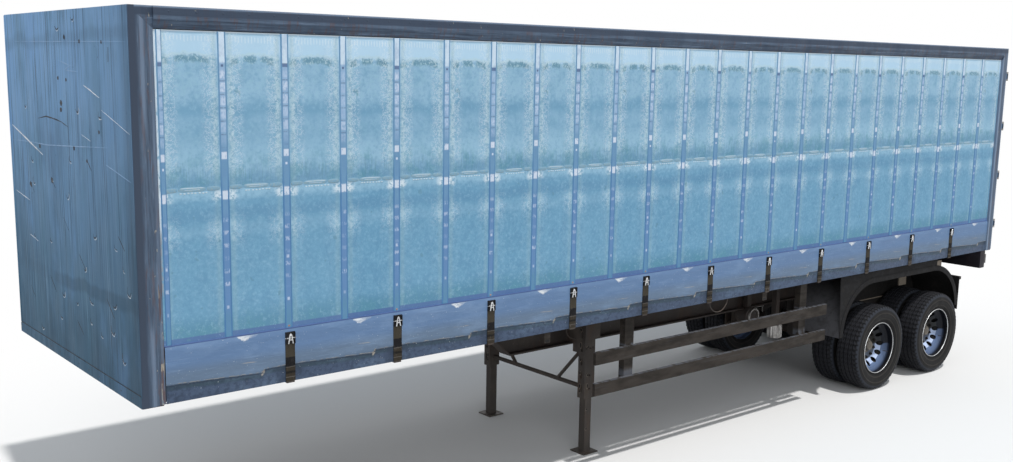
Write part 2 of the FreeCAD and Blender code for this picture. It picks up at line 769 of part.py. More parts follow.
def inner_pillars():
    """Pillars between deck and rails, inside the curtains."""
    outer = CURTAIN_FACE - S.curtain_thick - S.soft_gap
    pitch = (POST_BACK - FRAME_FRONT) / (PILLARS + 1)
    pillars = []
    for index in range(PILLARS):
        x = POST_BACK - pitch * (index + 1)
        pillars.append(box((x - S.pillar_depth, x), (outer - S.pillar_width, outer), (DECK, RAIL_LOW)))
    return both_sides(group(*pillars))


def side_guards():
    """Two rails below each side, on posts hung from two of the bearers."""
    ahead, behind = (bearer_middle(index) for index in GUARD_BEARERS)
    front = ahead + S.guard_nose
    back = behind - S.guard_tail
    inner = S.guard_reach - S.guard_thick
    parts = []
    for drop in (S.guard_upper_drop, S.guard_lower_drop):
        parts.append(box((back, front), (inner, S.guard_reach), (BASE - drop - S.guard_height, BASE - drop)))
    low = BASE - S.guard_lower_drop - S.guard_height
    for x in (ahead + S.guard_lead_front, behind + S.guard_lead_rear):
        y = (inner - S.guard_post_depth, inner)
        parts.append(box((x - S.guard_post_width, x), y, (low, BEARER_LOW)))
    return both_sides(joined(*parts))


def landing_legs():
    """Two legs: a slotted housing with its gearbox, an inner leg and a foot plate."""
    half_x = S.leg_depth / 2
    half_y = S.leg_width / 2
    low = BASE - S.leg_housing_drop
    high = BASE - S.leg_top_drop
    y = (LEG_Y - half_y, LEG_Y + half_y)
    housing = box((LEG_X - half_x, LEG_X + half_x), y, (low, high))
    cuts = []
    for index in range(SLOTS):
        z = low + S.slot_first + S.slot_pitch * index
        spread = S.slot_width / 2
        x = (LEG_FACE - S.slot_depth, LEG_FACE)
        rise = (S.slot_height - S.slot_width) / 2
        cuts.append(box(x, (LEG_Y - spread, LEG_Y + spread), (z - rise, z + rise)))
        cuts.append(rod("X", spread, x, (LEG_Y, z - rise)))
        cuts.append(rod("X", spread, x, (LEG_Y, z + rise)))
        if index in SLOTS_WITH_HOLES:
            cuts.append(rod("Y", S.leg_hole, (y[1] - S.slot_depth, y[1]), (LEG_X, z)))
    inner = S.leg_inner / 2
    foot = S.foot_size / 2
    tall = S.gearbox_height / 2
    leg = joined(
        cut(housing, joined(*cuts)),
        box((LEG_X - half_x - S.gearbox_depth, LEG_X - half_x), y, (SHAFT_Z - tall, SHAFT_Z + tall)),
        box((LEG_X - inner, LEG_X + inner), (LEG_Y - inner, LEG_Y + inner), (S.foot_thick, low)),
        box((LEG_X - foot, LEG_X + foot), (LEG_Y - foot, LEG_Y + foot), (0, S.foot_thick)),
    )
    return both_sides(leg)


def leg_bracing():
    """Mounting plates on the beams, a cross tube and two diagonals between the legs."""
    inner = LEG_Y - S.leg_width / 2
    web = BEAM_Y + S.beam_web / 2
    half = S.leg_depth / 2
    low = BEAM_LOW - S.flange_width / 2
    tube = BASE - S.brace_drop
    parts = [rod("Y", S.brace_radius, (-inner, inner), (LEG_X, tube))]
    for sign in SIDES.values():
        parts.append(box((LEG_X - half, LEG_X + half), (sign * (BEAM_Y + S.flange_width / 2), sign * inner),
                         (low, BASE - S.leg_top_drop)))
        parts.append(box((LEG_X - half, LEG_X + half), (sign * web, sign * inner),
                         (BEAM_LOW + S.flange_thick, BASE - S.leg_top_drop)))
        top = (LEG_X, sign * (inner - S.brace_radius), low + S.brace_radius)
        parts.append(strut(S.diagonal_radius, (LEG_X, sign * S.brace_foot, tube), top))
    return joined(*parts)


def landing_crank():
    """Cross shaft between the gearboxes, and the crank outside the right one."""
    inner = LEG_Y - S.leg_width / 2
    outer = LEG_Y + S.leg_width / 2
    radius = S.shaft_radius
    end = -outer - S.crank_reach
    low = SHAFT_Z - S.crank_throw
    crank = joined(
        rod("Y", radius, (end, -outer), (SHAFT_X, SHAFT_Z)),
        box((SHAFT_X - radius, SHAFT_X + radius), (end, end + radius), (low, SHAFT_Z)),
        rod("Y", radius, (end + radius, -inner), (SHAFT_X, low)),
    )
    return group(rod("Y", radius, (-inner, inner), (SHAFT_X, SHAFT_Z)), crank)


def at(offset):
    """A place along the wheels' axis, from the plane where the twin discs meet."""
    return S.dual_reach + offset


def tyres():
    """Twin tyres of the front axle's left wheel set."""
    seat = S.rim_radius + S.soft_gap
    bead = S.rim_width / 2 - S.rim_thick / 2 - S.soft_gap
    tread = S.tyre_tread / 2
    low = S.tyre_radius - S.shoulder_drop
    edge = S.tyre_radius - S.tread_crown
    inset = S.shoulder_drop / 2
    half = tread - inset
    crown = half * half / (2 * S.tread_crown) + S.tread_crown / 2
    lip = S.rim_flange + S.bead_rise
    pair = []
    for way in (1, -1):
        middle = at(way * S.dual_spacing / 2)
        points = (
            (middle - bead, seat),
            (middle + bead, seat),
            (middle + bead, lip, S.sidewall_round),
            (middle + tread, low),
            (middle + tread - inset, edge, crown),
            (middle + inset - tread, edge),
            (middle - tread, low, S.sidewall_round),
            (middle - bead, lip),
        )
        pair.append(turned(AXLES["front"], S.tyre_radius, points))
    return group(*pair)


def barrel_points(way):
    """Half-section of one rim's barrel, from its inner flange to its outer one and back."""

    def out(offset):
        return at(way * offset)

    middle = S.dual_spacing / 2
    flange = S.rim_width / 2
    lip = S.rim_thick
    near = middle - flange
    far = middle + flange
    seat = S.rim_radius
    under = seat - S.rim_thick
    well = seat - S.rim_well
    barrel = well - S.rim_thick
    well_half = S.rim_well
    slope = well_half + S.well_slope
    return (
        (out(near - lip), S.rim_flange),
        (out(near), S.rim_flange),
        (out(near + lip / 2), seat),
        (out(middle - slope), seat),
        (out(middle - well_half), well),
        (out(middle + well_half), well),
        (out(middle + slope), seat),
        (out(far - lip / 2), seat),
        (out(far), S.rim_flange),
        (out(far + lip), S.rim_flange),
        (out(far + lip), S.rim_flange - lip),
        (out(far - lip / 2), under),
        (out(middle + slope), under),
        (out(middle + well_half), barrel),
        (out(middle - well_half), barrel),
        (out(middle - slope), under),
        (out(near), under),
    )


def disc_points(way):
    """Half-section of one wheel disc, from the meeting plane along its cone to its barrel."""

    def out(offset):
        return at(way * offset)

    weld = S.rim_radius - S.rim_well - S.rim_thick / 2
    return (
        (out(S.disc_reach), weld),
        (out(S.disc_thick), S.disc_land),
        (out(S.disc_thick), S.disc_bore),
        (out(0), S.disc_bore),
        (out(0), S.disc_land + S.disc_thick / 2),
        (out(S.disc_reach - S.cone_thick), weld),
    )


def hand_hole(x, z, way, angle):
    """The cut for one hand hole, slanting through the disc's cone towards the axle."""
    slant = FreeCAD.Vector(-math.sin(HAND_TILT) * math.cos(angle), way * math.cos(HAND_TILT),
                           -math.sin(HAND_TILT) * math.sin(angle))
    back = S.hand_drill / 2
    middle = at(way * (S.disc_reach - S.cone_thick / 2 + S.disc_thick) / 2)
    piece = DOC.addObject("Part::Cylinder", "HandHole")
    piece.Placement = FreeCAD.Placement(FreeCAD.Vector(), FreeCAD.Rotation(FreeCAD.Vector(0, 0, 1), slant))
    bind(piece, "Radius", S.hand_hole)
    bind(piece, "Height", S.hand_drill)
    place(piece, x + S.hand_ring * math.cos(angle) - back * slant.x, middle - back * slant.y,
          z + S.hand_ring * math.sin(angle) - back * slant.z)
    return piece


def wheel_rims():
    """Twin rims bolted disc to disc, with hand holes through both cones."""
    x = AXLES["front"]
    z = S.tyre_radius
    pieces = []
    for way in (1, -1):
        holes = []
        for index in range(HAND_HOLES):
            holes.append(hand_hole(x, z, way, 2 * math.pi * index / HAND_HOLES))
        pieces.append(turned(x, z, barrel_points(way)))
        pieces.append(cut(turned(x, z, disc_points(way)), *holes))
    return joined(*pieces)


def hub():
    """Hub with its cap and its brake drum, open towards the middle of the trailer."""
    inner = S.drum_radius - S.drum_wall
    thick = S.disc_thick
    bore = S.spindle_radius + S.spindle_gap
    pilot = S.disc_bore - S.pilot_gap
    points = (
        (at(-S.drum_depth), inner),
        (at(-S.drum_depth), S.drum_radius),
        (at(thick - S.drum_face), S.drum_radius),
        (at(thick * 2 - S.drum_face), S.hub_flange),
        (at(-thick), S.hub_flange),
        (at(-thick), pilot),
        (at(thick), pilot),
        (at(thick * 2), S.hub_nose),
        (at(S.nose_reach), S.hub_nose),
        (at(S.nose_reach + thick), S.hub_cap),
        (at(S.hub_reach - S.cap_edge), S.hub_cap),
        (at(S.hub_reach), S.hub_cap - S.cap_edge),
        (at(S.hub_reach), 0),
        (at(S.hub_reach - S.cap_wall), 0),
        (at(S.hub_reach - S.cap_wall), bore),
        (at(-S.drum_face - S.boss_depth), bore),
        (at(-S.drum_face - S.boss_depth), S.hub_boss),
        (at(-S.drum_face), S.hub_boss),
        (at(-S.drum_face), inner),
    )
    return turned(AXLES["front"], S.tyre_radius, points)


def axle_beam(axle):
    """Axle tube with spindles, dust shields, spring seats and brake chambers."""
    x = AXLES[axle]
    z = S.tyre_radius
    shield = S.dual_reach - S.drum_depth - S.shield_gap
    tip = S.dual_reach + S.hub_reach - S.cap_wall - S.shield_thick
    parts = [
        rod("Y", S.axle_radius, (-shield, shield), (x, z)),
        rod("Y", S.spindle_radius, (-tip, tip), (x, z)),
    ]
    can_z = z + S.chamber_radius
    can_back = x + S.axle_radius + S.chamber_length / 2
    for sign in SIDES.values():
        parts.append(rod("Y", S.drum_radius - S.drum_wall / 2,
                         (sign * (shield - S.shield_thick), sign * shield), (x, z)))
        half = S.spring_width / 2
        y = (sign * (S.spring_reach - half), sign * (S.spring_reach + half))
        seat = S.seat_length / 2
        parts.append(box((x - seat, x + seat), y, (z, z + S.axle_radius + S.seat_height)))
        can_y = sign * S.chamber_reach
        parts.append(rod("X", S.chamber_radius, (can_back, can_back + S.chamber_length), (can_y, can_z)))
        parts.append(box((x, can_back), (can_y - S.shield_thick, can_y + S.shield_thick), (z, can_z)))
    return joined(*parts)


def leaf_springs():
    """Four spring packs, low in the middle and raised at their tips."""
    seat = S.tyre_radius + S.axle_radius + S.seat_height
    top = seat + S.spring_pack
    rise = S.spring_camber
    half = S.spring_half
    upper = half * half / (2 * rise) + rise / 2
    tip_low = top + rise - S.spring_tip
    land = S.seat_length / 2
    y = (S.spring_reach - S.spring_width / 2, S.spring_reach + S.spring_width / 2)
    packs = []
    for x in AXLES.values():
        points = (
            (x - half, top + rise, upper),
            (x + half, top + rise),
            (x + half, tip_low),
            (x + land, seat),
            (x - land, seat),
            (x - half, tip_low),
        )
        packs.append(padded("XZ_Plane", points, y))
    return both_sides(group(*packs))


SPRING_TOP = S.tyre_radius + S.axle_radius + S.seat_height + S.spring_pack + S.spring_camber
HANGERS = {
    "front": AXLES["front"] + S.spring_half,
    "middle": AXLES["front"] - S.axle_spacing / 2,
    "rear": AXLES["rear"] - S.spring_half,
}


def hanger(name):
    """Side plates on the beam's foot, joined by a top plate, a wear pad and a pin."""
    x = HANGERS[name]
    inner = S.spring_width / 2 + S.hanger_plate / 2
    outer = inner + S.hanger_plate
    wide = S.hanger_top / 2
    narrow = S.hanger_foot / 2
    points = (
        (x - wide, BEAM_LOW),
        (x + wide, BEAM_LOW),
        (x + narrow, S.hanger_low),
        (x - narrow, S.hanger_low),
    )
    span = (S.spring_reach - outer, S.spring_reach + outer)
    parts = []
    for way in (1, -1):
        y = (S.spring_reach + way * inner, S.spring_reach + way * outer)
        parts.append(padded("XZ_Plane", points, y))
    parts.append(box((x - wide, x + wide), span, (BEAM_LOW - S.hanger_plate, BEAM_LOW)))
    parts.append(rod("Y", S.hanger_pin, span, (x, S.hanger_low + S.pin_rise)))
    if name == "middle":
        low = SPRING_TOP + S.soft_gap
        half = S.spring_width / 2
        y = (S.spring_reach - half, S.spring_reach + half)
        parts.append(box((x - S.rocker_half, x + S.rocker_half), y, (low, low + S.rocker_height)))
        parts.append(rod("Y", S.rocker_pin, span, (x, low + S.rocker_height / 2)))
    else:
        y = (S.spring_reach - inner, S.spring_reach + inner)
        low = SPRING_TOP + S.soft_gap
        parts.append(box((x - narrow, x + narrow), y, (low, low + S.pad_thick)))
    return joined(*parts)


def suspension_hangers():
    """Three hangers a side, the first two with the rods that hold the axles fore and aft."""
    z = S.hanger_low + S.pin_rise
    hung = {name: hanger(name) for name in HANGERS}
    for axle, start in (("front", "front"), ("rear", "middle")):
        end = AXLES[axle] + S.seat_length / 2
        arm = rod("X", S.rod_radius, (end, HANGERS[start]), (S.spring_reach, z))
        hung[start] = joined(hung[start], arm)
    return both_sides(group(*hung.values()))


ARC_TOP = BASE - S.mudguard_drop
ARC_FRONT_X = AXLES["front"] + S.mudguard_lead - S.guard_arc
ARC_REAR_X = AXLES["rear"] + S.mudguard_tail
ARC_Z = ARC_TOP - S.guard_arc
TAIL_TURN = math.radians(84)


def arch_line(inset):
    """The mudguard's side line at an inset from its outside, from its tail to its front foot."""
    radius = S.guard_arc - inset
    tail = (ARC_REAR_X - radius * math.sin(TAIL_TURN), ARC_Z + radius * math.cos(TAIL_TURN))
    return radius, (
        tail,
        (ARC_REAR_X, ARC_TOP - inset),
        (ARC_FRONT_X, ARC_TOP - inset),
        (ARC_FRONT_X + radius, ARC_Z),
    )


def arch_points(depth, inset=0):
    """A closed band along the mudguard's side line, from an inset down to a depth."""
    outer_radius, outer = arch_line(measure(inset))
    inner_radius, inner = arch_line(depth)
    return (
        (outer[0][0], outer[0][1], -outer_radius),
        outer[1],
        (outer[2][0], outer[2][1], -outer_radius),
        outer[3],
        (inner[3][0], inner[3][1], inner_radius),
        inner[2],
        (inner[1][0], inner[1][1], inner_radius),
        inner[0],
    )


def mudguards():
    """One long mudguard over both wheels of a side, closed inside, on stays from the beam."""
    outer = S.mudguard_reach
    inner = outer - S.mudguard_width
    skin = S.mudguard_skin
    web = BEAM_Y + S.beam_web / 2
    parts = [
        padded("XZ_Plane", arch_points(skin), (inner, outer)),
        padded("XZ_Plane", arch_points(S.mudguard_lip), (outer - skin, outer)),
    ]
    high = ARC_TOP - skin / 2
    middle = (ARC_FRONT_X + ARC_REAR_X) / 2
    for x in (ARC_FRONT_X - S.bar_size, middle, ARC_REAR_X + S.bar_size):
        parts.append(box((x - S.bar_size / 2, x + S.bar_size / 2), (web, outer - S.bar_size),
                         (high, high + S.bar_size)))
    wall = padded("XZ_Plane", arch_points(S.mudguard_wall, skin + S.soft_gap), (inner, inner + skin))
    return both_sides(group(joined(*parts), wall))


def mud_flaps():
    """Rubber flaps behind the rear wheels, each on its bar."""
    x = AXLES["rear"] - S.flap_setback
    outer = S.mudguard_reach - S.flap_inset
    high = BASE - S.flap_top_drop
    flap = box((x - S.flap_thick, x), (outer - S.flap_width, outer), (high - S.flap_length, high))
    return both_sides(flap)


def flap_bars():
    """Bars from the beams that carry the flaps."""
    x = AXLES["rear"] - S.flap_setback
    high = BASE - S.flap_top_drop
    outer = S.mudguard_reach - S.flap_inset
    bar = box((x - S.flap_thick - S.bar_size, x - S.flap_thick), (BEAM_Y + S.beam_web / 2, outer),
              (high - S.bar_size, high))
    return both_sides(bar)


BUMPER_BACK = REAR + S.bumper_inset


def rear_beam():
    """Cross beam under the rear sill."""
    half = HALF_WIDTH - S.bumper_side
    return box((BUMPER_BACK, BUMPER_BACK + S.bumper_depth), (-half, half), (BASE - S.bumper_drop, BASE))


def rear_lamps():
    """A lamp housing on each end of the rear beam, with its round lenses."""
    half = HALF_WIDTH - S.bumper_side
    z = BASE - S.bumper_drop / 2
    tall = S.lamp_height / 2
    face = BUMPER_BACK - S.lamp_depth
    parts = [box((face, BUMPER_BACK), (half - S.lamp_length, half), (z - tall, z + tall))]
    for index in range(LENSES):
        y = half - S.lamp_length / 2 + S.lens_pitch * (index - (LENSES - 1) / 2)
        parts.append(rod("X", S.lens_radius, (face - S.lens_proud, face), (y, z)))
    return both_sides(joined(*parts))


def air_tank():
    """Air tank between the main beams, hung from the bearers."""
    spots = [bearer_middle(TANK_BEARER), bearer_middle(TANK_BEARER + 1)]
    x = (spots[0] + spots[1]) / 2
    half = S.tank_length / 2
    z = BEARER_LOW - S.tank_drop
    parts = [rod("X", S.tank_radius, (x - half, x + half), (0, z))]
    wide = S.tank_strap / 2
    for spot in spots:
        span = (spot - S.bearer_width / 2, spot + S.bearer_width / 2)
        parts.append(box(span, (-wide, wide), (z, BEARER_LOW)))
    return joined(*parts)


DOOR_FACE = REAR - S.door_proud
HINGE_X = REAR - S.hinge_setback
HINGE_Y = HALF_WIDTH - S.hinge_inset


def hinge_heights():
    """Heights of the hinges' middles."""
    pitch = (S.body_height - S.hinge_low - S.hinge_high) / (HINGES - 1)
    return [BASE + S.hinge_low + pitch * index for index in range(HINGES)]


def door_leaf():
    """The left rear door with its hinge straps and knuckles."""
    near = S.door_meet
    far = DOORWAY - S.door_gap
    low = DECK + S.door_gap
    high = RAIL_LOW - S.door_gap
    leaf = box((DOOR_FACE, DOOR_FACE + S.door_thick), (near, far), (low, high))
    border = S.door_border
    panel = box((DOOR_FACE, DOOR_FACE + S.door_recess), (near + border, far - border),
                (low + border, high - border))
    parts = [cut(leaf, panel)]
    for z in hinge_heights():
        tall = S.hinge_height / 2
        span = (z - tall, z + tall)
        knuckle = rod("Z", S.hinge_radius, span, (HINGE_X, HINGE_Y))
        strap = box((DOOR_FACE - S.strap_thick, DOOR_FACE), (far - S.hinge_strap, HINGE_Y), span)
        backing = box((DOOR_FACE, DOOR_FACE + S.door_recess), (far - S.hinge_strap, far - border), span)
        bore = rod("Z", S.hinge_pin + S.spindle_gap, span, (HINGE_X, HINGE_Y))
        parts.append(cut(joined(knuckle, strap), bore))
        parts.append(backing)
    return joined(*parts)


def hinge_pins():
    """Ears on the rear posts with the hinge pins between them."""
    hinges = []
    for z in hinge_heights():
        gap = S.hinge_height / 2 + S.ear_gap
        high = gap + S.ear_height
        parts = [rod("Z", S.hinge_pin, (z - high, z + high), (HINGE_X, HINGE_Y))]
        for way in (1, -1):
            span = (z + way * gap, z + way * high)
            parts.append(rod("Z", S.hinge_radius, span, (HINGE_X, HINGE_Y)))
            parts.append(box((HINGE_X, REAR), (HINGE_Y - S.hinge_radius, HINGE_Y + S.hinge_inset), span))
        hinges.append(joined(*parts))
    return both_sides(group(*hinges))


def lock_gear():
    """Two lock bars on the left door, with clamps and folded handles."""
    back = REAR - S.gear_reach
    panel = DOOR_FACE + S.door_recess
    half = S.clamp_size / 2
    foot = DECK + S.door_gap + S.door_border + S.clamp_size
    head = RAIL_LOW - S.door_gap - S.door_border - S.clamp_size
    bars = []
    for index, (offset, way) in enumerate(((S.bar_near_reach, 1), (S.bar_far_reach, -1))):
        grip_z = BASE + S.handle_rise + S.handle_step * index
        span = (BASE + S.bar_low, TOP - S.bar_drop)
        parts = [rod("Z", S.bar_radius, span, (REAR - S.bar_setback, offset))]
        for z in (foot, grip_z, (grip_z + head) / 2, head):
            parts.append(box((back, panel), (offset - half, offset + half), (z - half, z + half)))
        grip = (grip_z - half / 2, grip_z + half / 2)
        end = offset + way * S.handle_length
        parts.append(box((back, back + S.handle_thick), (offset, end), grip))
        parts.append(box((back, panel), (end - way * half, end), grip))
        bars.append(joined(*parts))
    return group(*bars)


def build_nodes():
    """Builds every piece and returns it under its node's name."""
    nodes = {
        "front_wall": front_wall(),
        "front_posts": front_posts(),
        "top_rails": top_rails(),
        "rear_frame": rear_frame(),
        "roof_bows": roof_bows(),
        "roof_panel": roof_panel(),
        "deck_floor": deck_floor(),
        "side_raves": side_raves(),
        "cross_bearers": cross_bearers(),
        "beam_webs": beam_webs(),
        "beam_flanges": beam_flanges(),
        "coupler_plate": coupler_plate(),
        "buckle_straps": buckle_straps(),
        "inner_pillars": inner_pillars(),
        "side_guards": side_guards(),
        "landing_legs": landing_legs(),
        "leg_bracing": leg_bracing(),
        "landing_crank": landing_crank(),
        "leaf_springs": leaf_springs(),
        "suspension_hangers": suspension_hangers(),
        "mudguards": mudguards(),
        "mud_flaps": mud_flaps(),
        "flap_bars": flap_bars(),
        "rear_beam": rear_beam(),
        "rear_lamps": rear_lamps(),
        "air_tank": air_tank(),
        "hinge_pins": hinge_pins(),
    }
    for name, piece in (("curtain", curtain()), ("door", door_leaf()), ("lock_gear", lock_gear())):
        nodes[f"{name}_left"] = piece
        nodes[f"{name}_right"] = mirrored(piece)
    for axle in AXLES:
        nodes[f"axle_{axle}"] = axle_beam(axle)
    for name, piece in (("tyres", tyres()), ("rims", wheel_rims()), ("hub", hub())):
        behind = shifted(piece, -S.axle_spacing)
        nodes[f"{name}_front_left"] = piece
        nodes[f"{name}_front_right"] = mirrored(piece)
        nodes[f"{name}_rear_left"] = behind
        nodes[f"{name}_rear_right"] = mirrored(behind)
    return nodes


def check_document(nodes):
    """Stops when an object failed or a piece has no sound shape."""
    for item in DOC.Objects:
        bad = [word for word in item.State if word in ("Invalid", "Error")]
        if bad:
            raise RuntimeError(f"{item.Label} is {bad}")
    for name, item in nodes.items():
        shape = item.Shape
        if shape.isNull() or not shape.isValid() or not shape.Solids:
            raise RuntimeError(f"{name} has no sound shape")


def export_nodes(nodes):
    """Writes one STEP file for each node."""
    os.makedirs("parts", exist_ok=True)
    for name, item in nodes.items():
        item.Label = name
        item.Shape.exportStep(os.path.join("parts", f"{name}.step"))


def main():
    nodes = build_nodes()
    DOC.recompute()
    check_document(nodes)
    export_nodes(nodes)
    for name, item in nodes.items():
        print(f"{name}: {len(item.Shape.Solids)} solids, {item.Shape.Volume / 1e9:.5f} m3")


main()
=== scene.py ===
"""Dresses a curtain-sided semi trailer: cloth sides, straps, treaded tyres and worn finishes.

Metres, in the trailer's own frame: +X forward, +Y to its left side, +Z up.
"""
import logging
import math
import random
from dataclasses import dataclass
from enum import Enum
from typing import Callable, Iterable, Sequence

import bpy
from mathutils import Matrix, Vector, noise


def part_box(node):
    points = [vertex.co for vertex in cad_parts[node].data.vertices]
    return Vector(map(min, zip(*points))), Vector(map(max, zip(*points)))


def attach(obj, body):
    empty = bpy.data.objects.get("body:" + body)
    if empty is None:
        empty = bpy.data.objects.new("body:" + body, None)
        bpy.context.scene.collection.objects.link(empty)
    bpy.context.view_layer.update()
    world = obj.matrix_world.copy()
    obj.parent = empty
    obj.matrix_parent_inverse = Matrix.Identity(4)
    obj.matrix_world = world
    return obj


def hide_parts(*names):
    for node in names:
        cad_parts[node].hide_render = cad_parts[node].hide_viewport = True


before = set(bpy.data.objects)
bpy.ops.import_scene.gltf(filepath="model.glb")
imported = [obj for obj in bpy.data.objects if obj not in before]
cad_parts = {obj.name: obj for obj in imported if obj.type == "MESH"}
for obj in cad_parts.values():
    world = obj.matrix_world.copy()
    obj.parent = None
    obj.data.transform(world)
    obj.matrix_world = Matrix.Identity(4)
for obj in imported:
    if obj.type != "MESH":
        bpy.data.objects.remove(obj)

log = logging.getLogger("trailer")
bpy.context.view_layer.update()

Socket = bpy.types.NodeSocket
Colour = tuple[float, float, float]
Point = tuple[float, float, float]
Span = tuple[float, float]

POST_BACK = 5.195
FRAME_FRONT = -5.195
BASE = 1.38
TOP = 3.824
SKIRT_TOP = 1.75
PANELS = 24
PITCH = 10.39 / PANELS
AXLES = (-2.996, -4.201)
HUB_HEIGHT = 0.4785
RAIL_FOOT = 3.692

# The skirt's crease between two straps: its height over the foot, its fall, where it turns, its rise.
CREASE = 0.119
CREASE_FALL = 0.026
CREASE_TURN = 0.77
CREASE_RISE = 0.022
DUAL_REACH = 0.942

# Marks of the front wall: (across, up) places, and (path, width) strokes.
NICKS = ((-0.743, 2.605), (-0.3, 2.665), (0.029, 2.566), (-0.404, 2.211), (-0.783, 2.2), (0.527, 2.353),
         (0.886, 2.333), (0.314, 2.107), (1.009, 2.215), (-0.165, 1.849), (0.116, 1.842), (0.39, 1.9),
         (0.84, 1.946), (1.083, 2.067), (-0.25, 1.677), (0.371, 1.759), (0.569, 1.707), (0.771, 1.766),
         (-0.71, 1.507), (0.942, 1.617), (0.287, 3.753), (-0.045, 3.698), (0.305, 3.159), (0.703, 3.143),
         (-0.747, 2.763), (0.096, 2.827), (-0.838, 3.15))
CHIPS = ((0.397, 3.619), (0.797, 3.61), (-0.023, 3.209), (-0.031, 3.162), (0.104, 3.366), (-0.06, 3.376),
         (0.69, 3.053), (0.442, 2.851), (0.198, 2.919), (-0.539, 2.884), (-0.806, 2.585), (-0.305, 2.66),
         (0.107, 3.647))
SCRATCHES = (
    (((-1.2, 3.005), (-0.48, 2.824)), 0.022),
    (((0.434, 3.34), (0.56, 3.31), (0.717, 3.267)), 0.013),
    (((0.744, 3.193), (0.98, 3.13), (1.215, 3.065)), 0.006),
    (((-1.2, 2.505), (-0.854, 2.46)), 0.01),
    (((0.35, 3.02), (0.52, 2.985)), 0.005),
    (((-0.9, 2.2), (-0.7, 2.17)), 0.006),
)
GOUGES = (
    (((-0.534, 3.81), (-0.547, 3.493), (-0.543, 3.126)), 0.014),
    (((-0.55, 3.083), (-0.36, 3.105), (-0.169, 3.094), (-0.03, 3.08), (0.097, 3.053)), 0.017),
    (((0.913, 3.58), (0.902, 3.49)), 0.02),
    (((-0.31, 2.67), (-0.24, 2.61)), 0.016),
    (((0.44, 2.86), (0.52, 2.79)), 0.014),
    (((-0.81, 2.6), (-0.73, 2.53)), 0.016),
    (((0.2, 2.2), (0.33, 2.1)), 0.012),
    (((-0.45, 1.95), (-0.33, 1.85)), 0.014),
    (((0.7, 1.98), (0.82, 1.87)), 0.014),
    (((-0.95, 1.8), (-0.84, 1.72)), 0.012),
    (((0.1, 1.72), (0.22, 1.64)), 0.014),
    (((-0.1, 2.42), (0.02, 2.33)), 0.01),
    (((0.95, 2.42), (1.05, 2.34)), 0.012),
)
SCRAPES = (
    (((-1.2, 2.89), (-0.8, 2.9), (-0.376, 2.902), (0.2, 2.93), (0.838, 2.963)), 0.012),
    (((0.789, 2.853), (1.0, 2.815), (1.2, 2.778)), 0.012),
    (((-0.041, 3.496), (0.198, 3.459), (0.073, 3.431), (0.35, 3.422)), 0.009),
    (((-1.2, 3.628), (-0.4, 3.62), (0.4, 3.616), (1.2, 3.61)), 0.006),
)


class Side(Enum):
    """The trailer's two long sides, with the sign of their Y."""

    LEFT = 1
    RIGHT = -1

    @property
    def word(self) -> str:
        """The side's name in lower case."""
        return self.name.lower()


def srgb(red: float, green: float, blue: float, light: float = 1.0) -> Colour:
    """Turns a colour as seen on a screen, 0 to 255, into the paint that looks like it.

    Args:
        red: red as seen.
        green: green as seen.
        blue: blue as seen.
        light: how brightly the face is lit.

    Returns:
        The linear colour.
    """
    return tuple(min(0.95, ((part / 255 + 0.055) / 1.055) ** 2.4 / light) for part in (red, green, blue))


def side_tone(red: float, green: float, blue: float) -> Colour:
    """The paint that looks like this on the long sides."""
    return srgb(red, green, blue, 0.98)


def front_tone(red: float, green: float, blue: float) -> Colour:
    """The paint that looks like this on the front wall."""
    return srgb(red * 0.955, green * 0.985, blue, 0.725)


@dataclass(frozen=True)
class Level:
    """A number that changes over a piece; levels are added, multiplied and compared like numbers."""

    graph: "Graph"
    socket: Socket

    def __add__(self, other: "Value") -> "Level":
        """Both added together."""
        return self.graph.math("ADD", self, other)

    def __sub__(self, other: "Value") -> "Level":
        """What is left when the other is taken away."""
        return self.graph.math("SUBTRACT", self, other)

    def __rsub__(self, other: "Value") -> "Level":
        """What is left of the other when this is taken away."""
        return self.graph.math("SUBTRACT", other, self)

    def __mul__(self, other: "Value") -> "Level":
        """Both multiplied."""
        return self.graph.math("MULTIPLY", self, other)

    def __or__(self, other: "Value") -> "Level":
        """The larger of the two."""
        return self.graph.math("MAXIMUM", self, other)

    def __abs__(self) -> "Level":
        """How far this is from 0."""
        return self.graph.math("ABSOLUTE", self)

    __radd__ = __add__
    __rmul__ = __mul__

    def ease(self, start: float, end: float, low: float = 0.0, high: float = 1.0) -> "Level":
        """A smooth change between two places.

        Args:
            start: where the change begins.
            end: where it ends.
            low: the result before the start.
            high: the result after the end.

        Returns:
            The changed level.
        """
        node = self.graph.new("ShaderNodeMapRange")
        node.interpolation_type = "SMOOTHSTEP"
        numbers = (end, start, high, low) if end < start else (start, end, low, high)
        self.graph.feed(node.inputs[0], self)
        for socket, number in zip(node.inputs[1:5], numbers):
            socket.default_value = number
        return Level(self.graph, node.outputs[0])

    def band(self, low: float, high: float, soft: float) -> "Level":
        """1 between two places and 0 outside them, with soft edges."""
        rise = self.ease(low - soft, low + soft)
        return rise * self.ease(high - soft, high + soft, 1.0, 0.0)

    def wave(self, pitch: float) -> "Level":
        """A wave from 0 to 1 that repeats at a pitch."""
        return self.graph.math("SINE", self * (2 * math.pi / pitch)) * 0.5 + 0.5

    def fract(self) -> "Level":
        """What is left over whole numbers."""
        return self.graph.math("FRACT", self)

    def floor(self) -> "Level":
        """The whole number below."""
        return self.graph.math("FLOOR", self)


Value = float | Level | Socket


